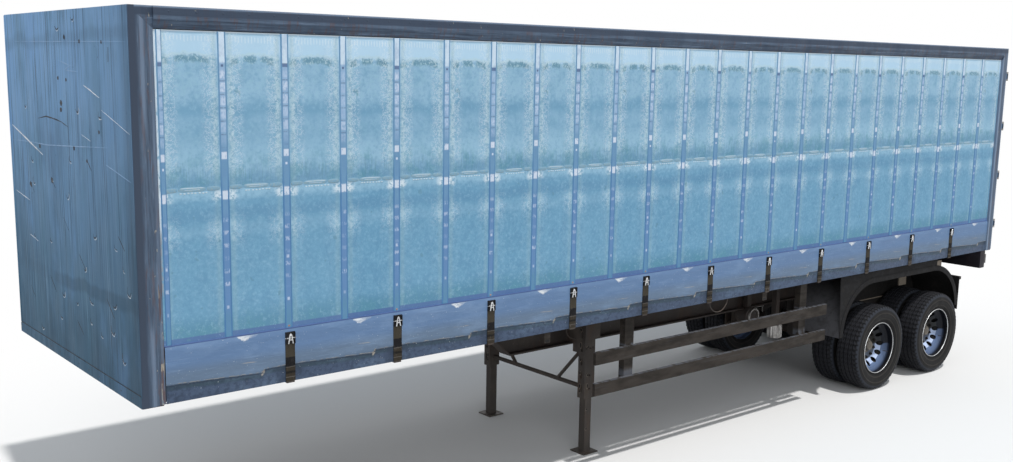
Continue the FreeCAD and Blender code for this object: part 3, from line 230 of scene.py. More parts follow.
class Graph:
    """One material, whose pattern is written as sums of the place on the piece."""

    def __init__(self, name: str) -> None:
        """Starts an empty material with a principled shader.

        Args:
            name: the material's name.
        """
        self.material = bpy.data.materials.new(name)
        self.material.use_nodes = True
        self.tree = self.material.node_tree
        self.new, self.link = self.tree.nodes.new, self.tree.links.new
        self.tree.nodes.clear()
        self.shader = self.new("ShaderNodeBsdfPrincipled")
        self.output = self.new("ShaderNodeOutputMaterial")
        self.link(self.shader.outputs[0], self.output.inputs[0])
        self.place = self.new("ShaderNodeTexCoord").outputs["Object"]
        split = self.new("ShaderNodeSeparateXYZ")
        self.link(self.place, split.inputs[0])
        self.x, self.y, self.z = (Level(self, socket) for socket in split.outputs)
        self.colour: Colour | Socket = (0.0, 0.0, 0.0)

    def feed(self, socket: Socket, value: Value | Colour) -> None:
        """Gives a socket a number, a colour or another node's result.

        Args:
            socket: what is fed.
            value: what it gets.
        """
        if isinstance(value, Level):
            value = value.socket
        if isinstance(value, Socket):
            self.link(value, socket)
        elif isinstance(value, tuple) and len(value) == 3 and socket.type == "RGBA":
            socket.default_value = (*value, 1.0)
        else:
            socket.default_value = value

    def math(self, kind: str, *values: Value) -> Level:
        """Adds one sum.

        Args:
            kind: the operation's name.
            values: what goes in.

        Returns:
            The sum's result.
        """
        node = self.new("ShaderNodeMath")
        node.operation = kind
        for socket, value in zip(node.inputs, values):
            self.feed(socket, value)
        return Level(self, node.outputs[0])

    def noise(self, stretch: float | Sequence[float], detail: float = 3.0, rough: float = 0.55) -> Level:
        """Cloudy noise from 0 to 1, as fine along each axis as its stretch.

        Args:
            stretch: clouds per metre, one number or one for each axis.
            detail: how many finer layers it has.
            rough: how strong the finer layers are.

        Returns:
            The noise.
        """
        node = self.new("ShaderNodeTexNoise")
        mapping = self.new("ShaderNodeMapping")
        self.link(self.place, mapping.inputs[0])
        mapping.inputs["Scale"].default_value = (stretch,) * 3 if isinstance(stretch, (int, float)) else stretch
        self.link(mapping.outputs[0], node.inputs["Vector"])
        node.inputs["Scale"].default_value = 1.0
        node.inputs["Detail"].default_value = detail
        node.inputs["Roughness"].default_value = rough
        return Level(self, node.outputs[0])

    def specks(self, stretch: float | Sequence[float], start: float, end: float, detail: float = 3.0) -> Level:
        """Patches where the noise passes a level."""
        return self.noise(stretch, detail).ease(start, end)

    def chance(self, value: Level) -> Level:
        """A steady random number for each value.

        Args:
            value: what it is drawn for.

        Returns:
            A number from 0 to 1.
        """
        node = self.new("ShaderNodeTexWhiteNoise")
        node.noise_dimensions = "1D"
        self.feed(node.inputs["W"], value)
        return Level(self, node.outputs["Value"])

    def mix(self, share: Value, base: Colour | Socket, top: Colour | Socket) -> Socket:
        """Lays one colour over another where the share is 1.

        Args:
            share: how much the upper colour covers.
            base: the lower colour.
            top: the upper colour.

        Returns:
            The mixed colour.
        """
        node = self.new("ShaderNodeMix")
        node.data_type = "RGBA"
        sockets = [item for item in node.inputs if item.type == "RGBA"]
        self.feed(node.inputs[0], share)
        self.feed(sockets[0], base)
        self.feed(sockets[1], top)
        return next(item for item in node.outputs if item.type == "RGBA")

    def over(self, base: Colour | Socket, *coats: tuple[Colour | Socket, Value]) -> Colour | Socket:
        """Lays coats over a base, each a colour with its share.

        Args:
            base: the lowest colour.
            coats: the coats, from the lowest up.

        Returns:
            The colour on top.
        """
        for top, share in coats:
            base = self.mix(share, base, top)
        return base

    def lay(self, top: Colour | Socket, *shares: Value) -> None:
        """Lays a colour over what is there so far, once for each share."""
        for share in shares:
            self.colour = self.mix(share, self.colour, top)

    def finish(self, rough: Value, metal: Value = 0.0, relief: Sequence[tuple[Level, float]] = (),
               shine: float = 0.5, **plain: float) -> bpy.types.Material:
        """Wires the running colour and the pattern into the shader.

        Args:
            rough: the surface's roughness.
            metal: 1 for bare metal.
            relief: heights from 0 to 1, each with its depth in metres.
            shine: how strongly it mirrors when seen straight on.
            plain: other sockets of the shader, by name with underscores.

        Returns:
            The finished material.
        """
        self.feed(self.shader.inputs["Base Color"], self.colour)
        self.feed(self.shader.inputs["Roughness"], rough)
        self.feed(self.shader.inputs["Metallic"], metal)
        self.feed(self.shader.inputs["Specular IOR Level"], shine)
        last = None
        for height, depth in relief:
            node = self.new("ShaderNodeBump")
            node.inputs["Distance"].default_value = depth
            node.inputs["Strength"].default_value = 1.0
            self.feed(node.inputs["Height"], height)
            if last is not None:
                self.link(last, node.inputs["Normal"])
            last = node.outputs[0]
        if last is not None:
            self.link(last, self.shader.inputs["Normal"])
        for word, amount in plain.items():
            self.shader.inputs[word.replace("_", " ")].default_value = amount
        return self.material


def circle(sides: int, shift: float = 0.0) -> list[tuple[float, float]]:
    """The cosine and sine of even steps round a circle, which starts a share of a step late."""
    turns = (2 * math.pi * (k + shift) / sides for k in range(sides))
    return [(math.cos(turn), math.sin(turn)) for turn in turns]


class Mesher:
    """Collects corners and faces and makes them into one piece."""

    def __init__(self) -> None:
        """Starts with nothing in it."""
        self.corners: list[Point] = []
        self.faces: list[tuple[int, ...]] = []

    def grid(self, rows: Sequence[Sequence[Point]], round_rows: bool = False,
             round_columns: bool = False) -> None:
        """Joins rows of points into a skin.

        Args:
            rows: the rows, all of one length.
            round_rows: whether each row closes on itself.
            round_columns: whether the last row meets the first.
        """
        start = len(self.corners)
        wide = len(rows[0])
        for row in rows:
            self.corners.extend(tuple(point) for point in row)
        for r in range(len(rows) if round_columns else len(rows) - 1):
            for c in range(wide if round_rows else wide - 1):
                ahead = (c + 1) % wide
                below = (r + 1) % len(rows)
                self.faces.append((start + r * wide + c, start + r * wide + ahead,
                                   start + below * wide + ahead, start + below * wide + c))

    def cap(self, ring: Sequence[Point]) -> None:
        """Closes a ring of points with one face.

        Args:
            ring: its points.
        """
        start = len(self.corners)
        self.corners.extend(tuple(point) for point in ring)
        self.faces.append(tuple(range(start, start + len(ring))))

    def closed(self, rings: Sequence[Sequence[Point]]) -> None:
        """Joins rings into a skin and closes it at both ends.

        Args:
            rings: the rings, all of one length.
        """
        self.grid(rings, round_rows=True)
        self.cap(list(reversed(rings[0])))
        self.cap(rings[-1])

    def block(self, low: Point, high: Point, cut: float = 0.0) -> None:
        """Adds a block whose long edges are cut off.

        Args:
            low: the lowest corner.
            high: the highest corner.
            cut: how much is taken off each upright edge.
        """
        (x0, y0, z0), (x1, y1, z1) = low, high
        cut = min(cut, abs(x1 - x0) / 2.1, abs(y1 - y0) / 2.1, abs(z1 - z0) / 2.1)
        plan = [(x0 + cut, y0), (x1 - cut, y0), (x1, y0 + cut), (x1, y1 - cut),
                (x1 - cut, y1), (x0 + cut, y1), (x0, y1 - cut), (x0, y0 + cut)]
        inner = [(min(max(x, x0 + cut), x1 - cut), min(max(y, y0 + cut), y1 - cut)) for x, y in plan]
        rings = [[(*spot, z0) for spot in inner], [(*spot, z0 + cut) for spot in plan],
                 [(*spot, z1 - cut) for spot in plan], [(*spot, z1) for spot in inner]]
        self.closed(rings)

    def pair(self, low: Point, high: Point, cut: float = 0.0) -> None:
        """Adds a block on the left side and its mirror image on the right.

        Args:
            low: the left block's lowest corner.
            high: its highest corner.
            cut: how much is taken off each upright edge.
        """
        for sign in (-1, 1):
            near, far = sorted((sign * low[1], sign * high[1]))
            self.block((low[0], near, low[2]), (high[0], far, high[2]), cut)

    def turn(self, profile: Sequence[tuple[float, float]], base: Point, axis: Vector, sides: int) -> None:
        """Turns a profile about an axis.

        Args:
            profile: (along the axis, radius) pairs.
            base: where the axis starts.
            axis: its direction.
            sides: corners round the axis.
        """
        across = axis.orthogonal().normalized()
        other = axis.cross(across).normalized()
        origin = Vector(base)
        rows = []
        for along, radius in profile:
            rows.append([tuple(origin + axis * along + (across * c + other * s) * radius)
                         for c, s in circle(sides)])
        self.grid(rows, round_rows=True)

    def pipe(self, path: Sequence[Point], radius: float, sides: int = 8) -> None:
        """Carries a round section along a path of points.

        Args:
            path: the points.
            radius: the section's radius.
            sides: corners round the section.
        """
        points = [Vector(point) for point in path]
        rows = []
        across = None
        for index, point in enumerate(points):
            ahead = points[min(index + 1, len(points) - 1)]
            behind = points[max(index - 1, 0)]
            way = (ahead - behind).normalized()
            flat = way.orthogonal() if across is None else across - way * across.dot(way)
            across = flat.normalized()
            other = way.cross(across)
            rows.append([tuple(point + (across * c + other * s) * radius) for c, s in circle(sides)])
        self.closed(rows)

    def piece(
        self, name: str, material: bpy.types.Material, slot: str, body: str = "chassis",
        smooth: bool = True, sharp: float = 35.0, side: Side | None = None,
    ) -> bpy.types.Object:
        """Makes the piece and tells the frame what it rides on.

        Args:
            name: the piece's name.
            material: its finish.
            slot: the record's material slot that the finish belongs to; not used.
            body: what it moves with.
            smooth: whether its faces are shaded smooth.
            sharp: the angle in degrees above which an edge stays sharp.
            side: the side that it is for, where it is drawn for the left and takes the side's name.

        Returns:
            The new object.
        """
        name = f"{name}_{side.word}" if side else name
        mesh = bpy.data.meshes.new(name)
        flip = side is Side.RIGHT
        corners = [(x, -y, z) for x, y, z in self.corners] if flip else self.corners
        faces = [tuple(reversed(face)) for face in self.faces] if flip else self.faces
        mesh.from_pydata(corners, [], faces)
        mesh.validate()
        mesh.materials.append(material)
        made = placed(name, mesh)
        if smooth:
            mesh.shade_smooth()
            mesh.set_sharp_from_angle(angle=math.radians(sharp))
        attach(made, body)
        log.info("%s: %d faces", name, len(mesh.polygons))
        return made


def placed(name: str, data: bpy.types.ID) -> bpy.types.Object:
    """A new object in the scene, with its mesh, lamp or camera.

    Args:
        name: the object's name.
        data: what it shows.

    Returns:
        The new object.
    """
    made = bpy.data.objects.new(name, data)
    bpy.context.scene.collection.objects.link(made)
    return made


def dress(names: Iterable[str], material: bpy.types.Material) -> None:
    """Gives construction nodes their finish.

    Args:
        names: the nodes.
        material: their finish.
    """
    for name in names:
        thing = bpy.data.objects[name]
        for holder in thing.material_slots:
            holder.material = material
        if not thing.material_slots:
            thing.data.materials.append(material)


@dataclass(frozen=True)
class BluePanel:
    """Scratched blue paint of the front wall and the rear doors."""

    high: Colour = front_tone(127, 160, 195)
    low: Colour = front_tone(75, 102, 122)
    dust: Colour = front_tone(140, 168, 194)
    dirt: Colour = front_tone(54, 72, 88)
    bright: Colour = front_tone(112, 148, 190)
    teal: Colour = front_tone(84, 116, 134)
    side: Colour = side_tone(67, 77, 93)

    def material(self) -> bpy.types.Material:
        """Builds the paint.

        Returns:
            The material.
        """
        g = Graph("blue_panel_paint")
        climb = (g.z + g.noise((0.9, 0.9, 0.5), 2.0) * 0.5).ease(BASE + 0.35, TOP + 0.3)
        g.colour = g.mix(climb, self.low, self.high)
        patch = g.noise((2.4, 2.4, 1.1), 4.0, 0.6)
        g.lay(self.bright, patch.ease(0.5, 0.68) * 0.45)
        g.lay(self.teal, patch.ease(0.5, 0.34) * 0.35)
        streak = g.noise((55.0, 55.0, 0.9), 4.0, 0.7)
        g.lay(self.dust, streak.ease(0.52, 0.72) * 0.45)
        runs = g.noise((46.0, 46.0, 0.5), 5.0, 0.75)
        reach = g.noise((3.0, 3.0, 1.4), 3.0).ease(0.36, 0.62, 0.25, 0.85)
        thin = g.noise((120.0, 120.0, 1.0), 3.0).ease(0.6, 0.68)
        g.lay(self.dirt, runs.ease(0.5, 0.36) * reach, thin * reach * 0.6)
        slant = g.z + g.y * -0.02 + (patch - 0.5) * 0.16
        stain = slant.band(1.93, 2.02, 0.02) * g.y.ease(-0.5, 0.0, 0.25, 1.0) * 0.4
        g.lay(self.dirt, stain, slant.band(3.6, 3.68, 0.03) * 0.2,
              g.specks((2.2, 2.2, 1.2), 0.52, 0.75, 5.0) * 0.3)
        low_grime = g.z.ease(BASE + 1.1, BASE) * g.specks((5.0, 5.0, 2.5), 0.4, 0.7, 5.0)
        g.lay(self.dirt, low_grime * 0.4, g.y.ease(-0.3, 1.1, 0.0, 0.2), g.z.ease(1.9, 1.45, 0.0, 0.3),
              (g.y + streak * 0.1).ease(1.1, 1.24) * 0.4)
        pits = g.specks((38.0, 38.0, 30.0), 0.72, 0.78, 2.0)
        g.lay(self.dirt, pits * 0.6)
        g.lay(self.dust, g.specks((90.0, 90.0, 60.0), 0.74, 0.8, 2.0) * 0.5)
        g.lay(self.side, abs(g.y).ease(1.2485, 1.2495))
        rough = g.noise((9.0, 9.0, 3.0), 4.0).ease(0.2, 0.8, 0.55, 0.75)
        waves = g.noise((1.6, 1.6, 0.9), 1.0)
        return g.finish(rough, relief=((waves, 0.012), (streak, 0.0006), (pits, -0.0012)), shine=0.1)


@dataclass(frozen=True)
class WeatheredPaint:
    """Chalky paint with rust at the edges and dust on top."""

    name: str
    base: Colour
    light: Colour
    rust: Colour
    rust_share: float
    grain: float = 14.0
    rough_low: float = 0.42
    rough_high: float = 0.72

    def material(self) -> bpy.types.Material:
        """Builds the paint.

        Returns:
            The material.
        """
        g = Graph(self.name)
        cloud = g.noise((self.grain * 0.25, self.grain * 0.25, self.grain * 0.12), 5.0, 0.6)
        g.colour = g.mix(cloud.ease(0.45, 0.72) * 0.65, self.base, self.light)
        stain = g.specks((self.grain * 0.5, self.grain * 0.5, self.grain * 0.2), 0.5, 0.66, 6.0)
        g.lay(self.rust, stain * self.rust_share)
        chips = g.specks((self.grain * 3.5,) * 3, 0.68, 0.73, 2.0)
        g.lay(self.light, chips * 0.55)
        fine = g.noise(self.grain * 9.0, 3.0)
        rough = cloud.ease(0.3, 0.7, self.rough_low, self.rough_high)
        return g.finish(rough, relief=((fine, 0.0005), (chips, -0.0006)), shine=0.2)


@dataclass(frozen=True)
class CornerSlate:
    """Slate paint of the posts and rails: dark edge, pale streak, chips low down."""

    base: Colour = side_tone(84, 101, 122)
    pale: Colour = side_tone(128, 146, 170)
    rust: Colour = side_tone(96, 70, 62)
    chip: Colour = side_tone(186, 178, 160)
    dark: Colour = side_tone(56, 68, 86)

    def material(self) -> bpy.types.Material:
        """Builds the paint.

        Returns:
            The material.
        """
        g = Graph("slate_corner_paint")
        side = abs(g.y)
        wobble = (g.noise((30.0, 30.0, 1.5), 3.0) - 0.5) * 0.02
        cloud = g.noise((6.0, 6.0, 1.6), 5.0, 0.65)
        along = g.x + wobble
        rise = g.z - RAIL_FOOT
        front = g.x - POST_BACK + rise * -1.2
        back = FRAME_FRONT - g.x + rise * -0.8
        post = (front | back).ease(-0.001, 0.001)
        upright = g.noise((60.0, 60.0, 3.2), 5.0, 0.75)
        level = g.noise((2.2, 40.0, 60.0), 4.0, 0.7)
        streaks = upright * post + level * (1.0 - post)
        g.colour = g.mix(cloud.ease(0.38, 0.7) * 0.35, self.base, self.dark)
        g.lay(self.dark, streaks.ease(0.54, 0.36) * 0.8)
        g.lay(self.pale, streaks.ease(0.55, 0.68) * 0.5)
        g.lay(self.rust, g.specks((50.0, 50.0, 5.0), 0.53, 0.64, 4.0) * 0.4)
        g.lay(self.dark, along.ease(5.288, 5.312) * post * 0.85)
        faded = g.z.ease(2.95, 3.35) * 0.55 + g.z.ease(1.95, 1.8) * 0.5
        g.lay(self.pale, along.band(5.256, 5.284, 0.008) * post * faded)
        flecks = g.specks((60.0, 60.0, 9.0), 0.57, 0.62, 2.0)
        inner = along.band(5.198, 5.222, 0.005) * post
        g.lay(self.pale, inner * 0.3)
        stain = inner * g.z.ease(2.3, 2.1) * g.specks((40.0, 40.0, 5.0), 0.52, 0.6, 3.0)
        g.lay(self.rust, stain * 0.75)
        g.lay(self.chip, inner * flecks * g.z.ease(2.2, 2.0) * 0.8)
        g.lay(self.pale, along.band(-5.225, -5.19, 0.006) * post * 0.75,
              along.ease(-5.28, -5.296) * post * 0.45)
        g.lay(self.dark, front.band(-0.0015, 0.0015, 0.001) * rise.ease(0.0, 0.01) * 0.8)
        g.lay(self.pale, g.z.ease(TOP - 0.012, TOP - 0.006) * side.ease(1.2, 1.24) * 0.75)
        g.lay(self.dark, g.z.band(TOP - 0.056, TOP - 0.012, 0.005) * 0.9)
        chips = g.specks((40.0, 40.0, 22.0), 0.7, 0.74, 2.0)
        g.lay(self.chip, chips * 0.5)
        rough = cloud.ease(0.3, 0.7, 0.45, 0.68)
        fine = g.noise(120.0, 3.0)
        return g.finish(rough, relief=((fine, 0.0004), (chips, -0.0007)), shine=0.3)


@dataclass(frozen=True)
class BareMetal:
    """Worn bare metal: brushed, dull or oily."""

    name: str
    colour: Colour
    rough: float
    dirt: Colour
    dirt_share: float
    stretch: Point
    metal: float = 1.0

    def material(self) -> bpy.types.Material:
        """Builds the metal.

        Returns:
            The material.
        """
        g = Graph(self.name)
        brush = g.noise(self.stretch, 3.0, 0.6)
        grime = g.specks(11.0, 0.45, 0.7, 6.0)
        tint = g.mix(brush.ease(0.3, 0.7), self.colour, tuple(part * 0.8 for part in self.colour))
        g.colour = g.mix(grime * self.dirt_share, tint, self.dirt)
        rough = brush * 0.16 + grime * 0.28 + self.rough
        metal = self.metal - grime * self.dirt_share
        return g.finish(rough, metal, relief=((brush, 0.0002),))


@dataclass(frozen=True)
class CurtainCloth:
    """Faded coated cloth of the curtains, with its pale head band and mottled panels."""

    head: Colour = side_tone(184, 216, 238)
    upper: Colour = side_tone(148, 186, 212)
    moss: Colour = side_tone(146, 190, 204)
    shade: Colour = side_tone(110, 157, 188)
    glow: Colour = side_tone(150, 190, 214)
    teal: Colour = side_tone(94, 138, 158)
    green: Colour = side_tone(90, 148, 162)
    lower: Colour = side_tone(110, 160, 191)
    dim: Colour = side_tone(96, 144, 178)
    foot: Colour = side_tone(88, 140, 168)
    hem: Colour = side_tone(82, 108, 160)
    olive: Colour = side_tone(132, 168, 184)
    cream: Colour = side_tone(188, 213, 222)
    white: Colour = side_tone(232, 240, 246)
    brown: Colour = side_tone(168, 152, 146)

    def material(self) -> bpy.types.Material:
        """Builds the cloth.

        Returns:
            The material.
        """
        g = Graph("curtain_cloth")
        steps = (POST_BACK - g.x) * (1 / PITCH)
        panel = steps.floor()
        across = steps.fract()
        near = g.math("MINIMUM", across, 1.0 - across)
        luck = g.chance(panel + 0.37)
        odd = g.math("MODULO", panel, 2.0)
        even = 1.0 - odd
        patch = g.noise((9.0, 9.0, 7.0), 5.0, 0.62)
        grain = g.noise(38.0, 5.0, 0.72)
        fine = g.noise((60.0, 60.0, 24.0), 3.0)
        ticks = g.noise((150.0, 150.0, 11.0), 2.0)
        warp = (g.noise(6.0, 3.0) - 0.5) * 0.13 + (grain - 0.5) * 0.07
        high = g.z + warp

        upper = g.over(
            self.upper,
            (self.shade, patch.ease(0.42, 0.7) * 0.55),
            (self.moss, grain.ease(0.44, 0.62) * 0.3),
            (self.shade, high.band(3.15, 3.25, 0.06) * 0.95),
            (self.shade, high.band(2.97, 3.13, 0.06) * 0.4),
            (self.glow, high.band(2.86, 2.98, 0.07) * 0.55),
            (self.dim, high.ease(2.88, 2.76) * 0.75),
        )
        greens = high.ease(2.98, 2.8) * (patch + ticks * 0.3).ease(0.56, 0.8) * 0.55
        upper = g.mix(greens, upper, self.green)
        tooth = high.band(2.74, 2.85, 0.03) * ticks.ease(0.5, 0.64) * 0.45
        upper = g.mix(tooth, upper, self.teal)

        lower = g.over(
            self.lower,
            (self.foot, g.z.ease(1.95, SKIRT_TOP + 0.05)),
            (self.dim, patch.ease(0.42, 0.72) * 0.5),
            (self.glow, (g.z + warp * 0.5).ease(2.62, 2.68) * 0.8),
            (self.dim, (g.z + warp * 0.6).band(2.52, 2.59, 0.025) * 0.6),
        )
        sides = near.ease(0.34, 0.12) * 0.5 + 0.3
        lower = g.mix(high.band(2.42, 2.49, 0.035) * sides, lower, self.glow)
        low_greens = high.ease(1.95, 1.8) * patch.ease(0.45, 0.6) * 0.5
        lower = g.mix(low_greens, lower, self.green)
        g.colour = g.mix(g.z.ease(2.71, 2.73), lower, upper)
        high_half = g.z.ease(2.7, 2.9)
        g.lay(g.mix(high_half, self.dim, self.shade), grain.ease(0.53, 0.32) * 0.5)
        g.lay(self.glow, grain.ease(0.5, 0.7) * 0.45)

        ragged = g.z + (grain - 0.5) * 0.06
        g.lay(self.head, ragged.ease(3.515, 3.56) * 0.94)
        g.lay(self.white, g.x.wave(0.0222).ease(0.55, 0.9) * ragged.band(3.625, 3.66, 0.006) * 0.4)
        g.lay(self.shade, g.z.band(3.668, 3.677, 0.002) * 0.4)
        wild = g.noise(26.0, 5.0, 0.75)
        arch = near.ease(0.1, 0.36) * 0.024
        lift = g.z + (wild - 0.5) * 0.07 - arch - 3.503
        inside = near.ease(0.08, 0.13)
        g.lay(self.cream, lift.band(0.016, 0.034, 0.007) * inside * 0.5)
        first = across.band(0.07, 0.19, 0.03) | across.band(0.3, 0.8, 0.03)
        second = across.band(0.14, 0.25, 0.02) | across.band(0.35, 0.54, 0.02) | across.band(0.62, 0.82, 0.03)
        body = lift.band(-0.024, 0.014, 0.01)
        g.lay(self.teal, body * (first * even + second * odd) * 0.8)
        wisps = lift.band(-0.03, 0.02, 0.01) * inside * g.specks((80.0, 80.0, 60.0), 0.54, 0.6, 3.0)
        g.lay(self.cream, wisps * 0.6)
        mark = (across.band(0.18, 0.27, 0.02) * ragged.band(3.312, 3.334, 0.008)
                | across.band(0.25, 0.275, 0.008) * ragged.band(3.292, 3.33, 0.006))
        g.lay(self.teal, odd * mark * 0.6)

        curl = (wild - 0.5) * 0.14
        g.lay(self.olive, near.band(0.085, 0.15, 0.03) * 0.35)
        zone = g.z.ease(2.76, 2.9) * 0.75 + g.z.band(2.36, 2.52, 0.06) * 0.5 + 0.12
        g.lay(self.cream, (near + curl).band(0.085, 0.17, 0.035) * grain.ease(0.42, 0.56) * zone * 0.6)
        g.lay(self.white, wild.band(0.485, 0.515, 0.01) * near.band(0.09, 0.3, 0.06) * zone * 0.6)
        flare = near.ease(0.24, 0.1) * ragged.band(2.648, 2.705, 0.018) * grain.ease(0.42, 0.55) * 0.8
        g.lay(self.white, flare)

        g.lay(self.hem, g.z.ease(1.79, 1.782) * 0.85)
        edge = (g.x + (wild - 0.5) * 0.008).ease(5.179, 5.183)
        g.lay(self.white, edge * g.z.ease(2.43, 2.5) * fine.ease(0.3, 0.5) * 0.75)
        g.lay(self.brown, edge * g.z.band(2.08, 2.47, 0.04) * fine.ease(0.3, 0.5) * 0.6)
        g.lay(self.white, g.z.ease(3.679, 3.682) * 0.7)
        g.lay(self.teal, g.specks(14.0, 0.7, 0.73, 2.0) * g.z.ease(2.68, 2.6) * 0.5)
        fade = g.mix(luck * 0.1, g.colour, self.glow)
        scuff = g.specks((130.0, 130.0, 90.0), 0.68, 0.74, 2.0) * 0.35
        fade = g.mix(scuff, fade, self.head)

        weave = g.x.wave(0.0024) * g.z.wave(0.0024)
        rough = patch.ease(0.3, 0.7, 0.5, 0.7)
        g.colour = fade
        return g.finish(rough, relief=((patch, 0.004), (grain, 0.0016), (weave, 0.0002)), shine=0.25)


@dataclass(frozen=True)
class WebbingCloth:
    """Upright webbings sewn to the curtain: a pale worn middle between blue borders."""

    rim_high: Colour = side_tone(108, 152, 190)
    rim_low: Colour = side_tone(82, 130, 178)
    head: Colour = side_tone(210, 228, 244)
    upper: Colour = side_tone(152, 184, 216)
    middle: Colour = side_tone(112, 154, 190)
    violet: Colour = side_tone(104, 143, 188)
    foot: Colour = side_tone(98, 144, 178)
    navy: Colour = side_tone(60, 78, 124)
    white: Colour = side_tone(224, 232, 246)

    def material(self) -> bpy.types.Material:
        """Builds the webbing.

        Returns:
            The material.
        """
        g = Graph("webbing_cloth")
        first = g.x.ease(POST_BACK - 0.07, POST_BACK - 0.06)
        steps = (POST_BACK - g.x) * (1 / PITCH) + 0.5
        index = steps.floor()
        across = (steps.fract() - 0.5) * PITCH + first * -Curtain.edge_inset
        out = abs(across) * (first * 0.55 + 1.0)
        odd = g.math("MODULO", index, 2.0)
        even = 1.0 - odd
        luck = g.chance(index + 0.61)
        rag = g.noise((70.0, 70.0, 40.0), 3.0)
        mottle = g.noise((24.0, 24.0, 16.0), 4.0)

        strip = (out + (rag - 0.5) * 0.004).ease(0.0195, 0.0165)
        inner = g.over(
            self.upper,
            (self.middle, g.z.ease(3.2, 2.86)),
            (self.violet, g.z.ease(2.6, 2.45)),
            (self.foot, g.z.ease(1.98, 1.85)),
            (self.head, g.z.ease(3.49, 3.508)),
            (self.violet, mottle.ease(0.45, 0.7) * 0.3),
        )
        slot = g.z + luck * 0.012
        label = even * slot.band(3.478, 3.502, 0.003) * 0.9
        dot = odd * slot.band(3.478, 3.493, 0.004) * out.ease(0.01, 0.006)
        inner = g.mix((label | dot) * 0.75, inner, self.navy)
        beats = (g.z + luck * 0.03) * (1 / 0.083)
        beat = beats.fract()
        worn = g.chance(beats.floor() + g.math("MODULO", index, 3.0) * 0.29)
        chain = beat.band(0.14, 0.82, 0.05) * g.z.band(2.98, 3.45, 0.02) * g.z.ease(2.9, 3.3, 0.35, 1.0)
        inner = g.mix(chain * rag.ease(0.3, 0.62) * worn.ease(0.0, 1.0, 0.15, 0.75), inner, self.white)
        bars = beat.band(0.9, 1.02, 0.03) * g.z.band(2.98, 3.45, 0.02)
        inner = g.mix(bars * rag.ease(0.3, 0.6) * 0.45, inner, self.navy)
        beads = beat.band(0.3, 0.6, 0.08) * g.z.band(2.05, 2.52, 0.03) * rag.ease(0.4, 0.55)
        inner = g.mix(beads * worn.ease(0.0, 1.0, 0.1, 0.5), inner, self.white)
        bright = (slot.band(2.905, 2.95, 0.005) | (slot + rag * 0.01).band(2.655, 2.71, 0.006)
                  | even * slot.band(2.85, 2.865, 0.004) * out.ease(0.009, 0.006)
                  | slot.band(1.942, 1.962, 0.005) * out.ease(0.01, 0.006) * luck.ease(0.1, 0.9, 0.75, 0.25)
                  | even * slot.band(2.23, 2.25, 0.006) * out.ease(0.011, 0.008) * 0.7)
        inner = g.mix(bright * rag.ease(0.28, 0.42) * 0.85, inner, self.white)
        rim = g.over(
            self.rim_high,
            (self.rim_low, g.z.ease(2.9, 2.6)),
            (self.middle, out.ease(0.0245, 0.027) * 0.35),
        )
        g.colour = g.mix(strip, rim, inner)
        weave = across.wave(0.0045) * g.z.wave(0.003)
        stitch = out.band(0.0215, 0.024, 0.0008) * (g.z * 80.0).fract().band(0.2, 0.7, 0.1)
        return g.finish(0.66, relief=((weave, 0.0006), (stitch, 0.0012)), shine=0.25)


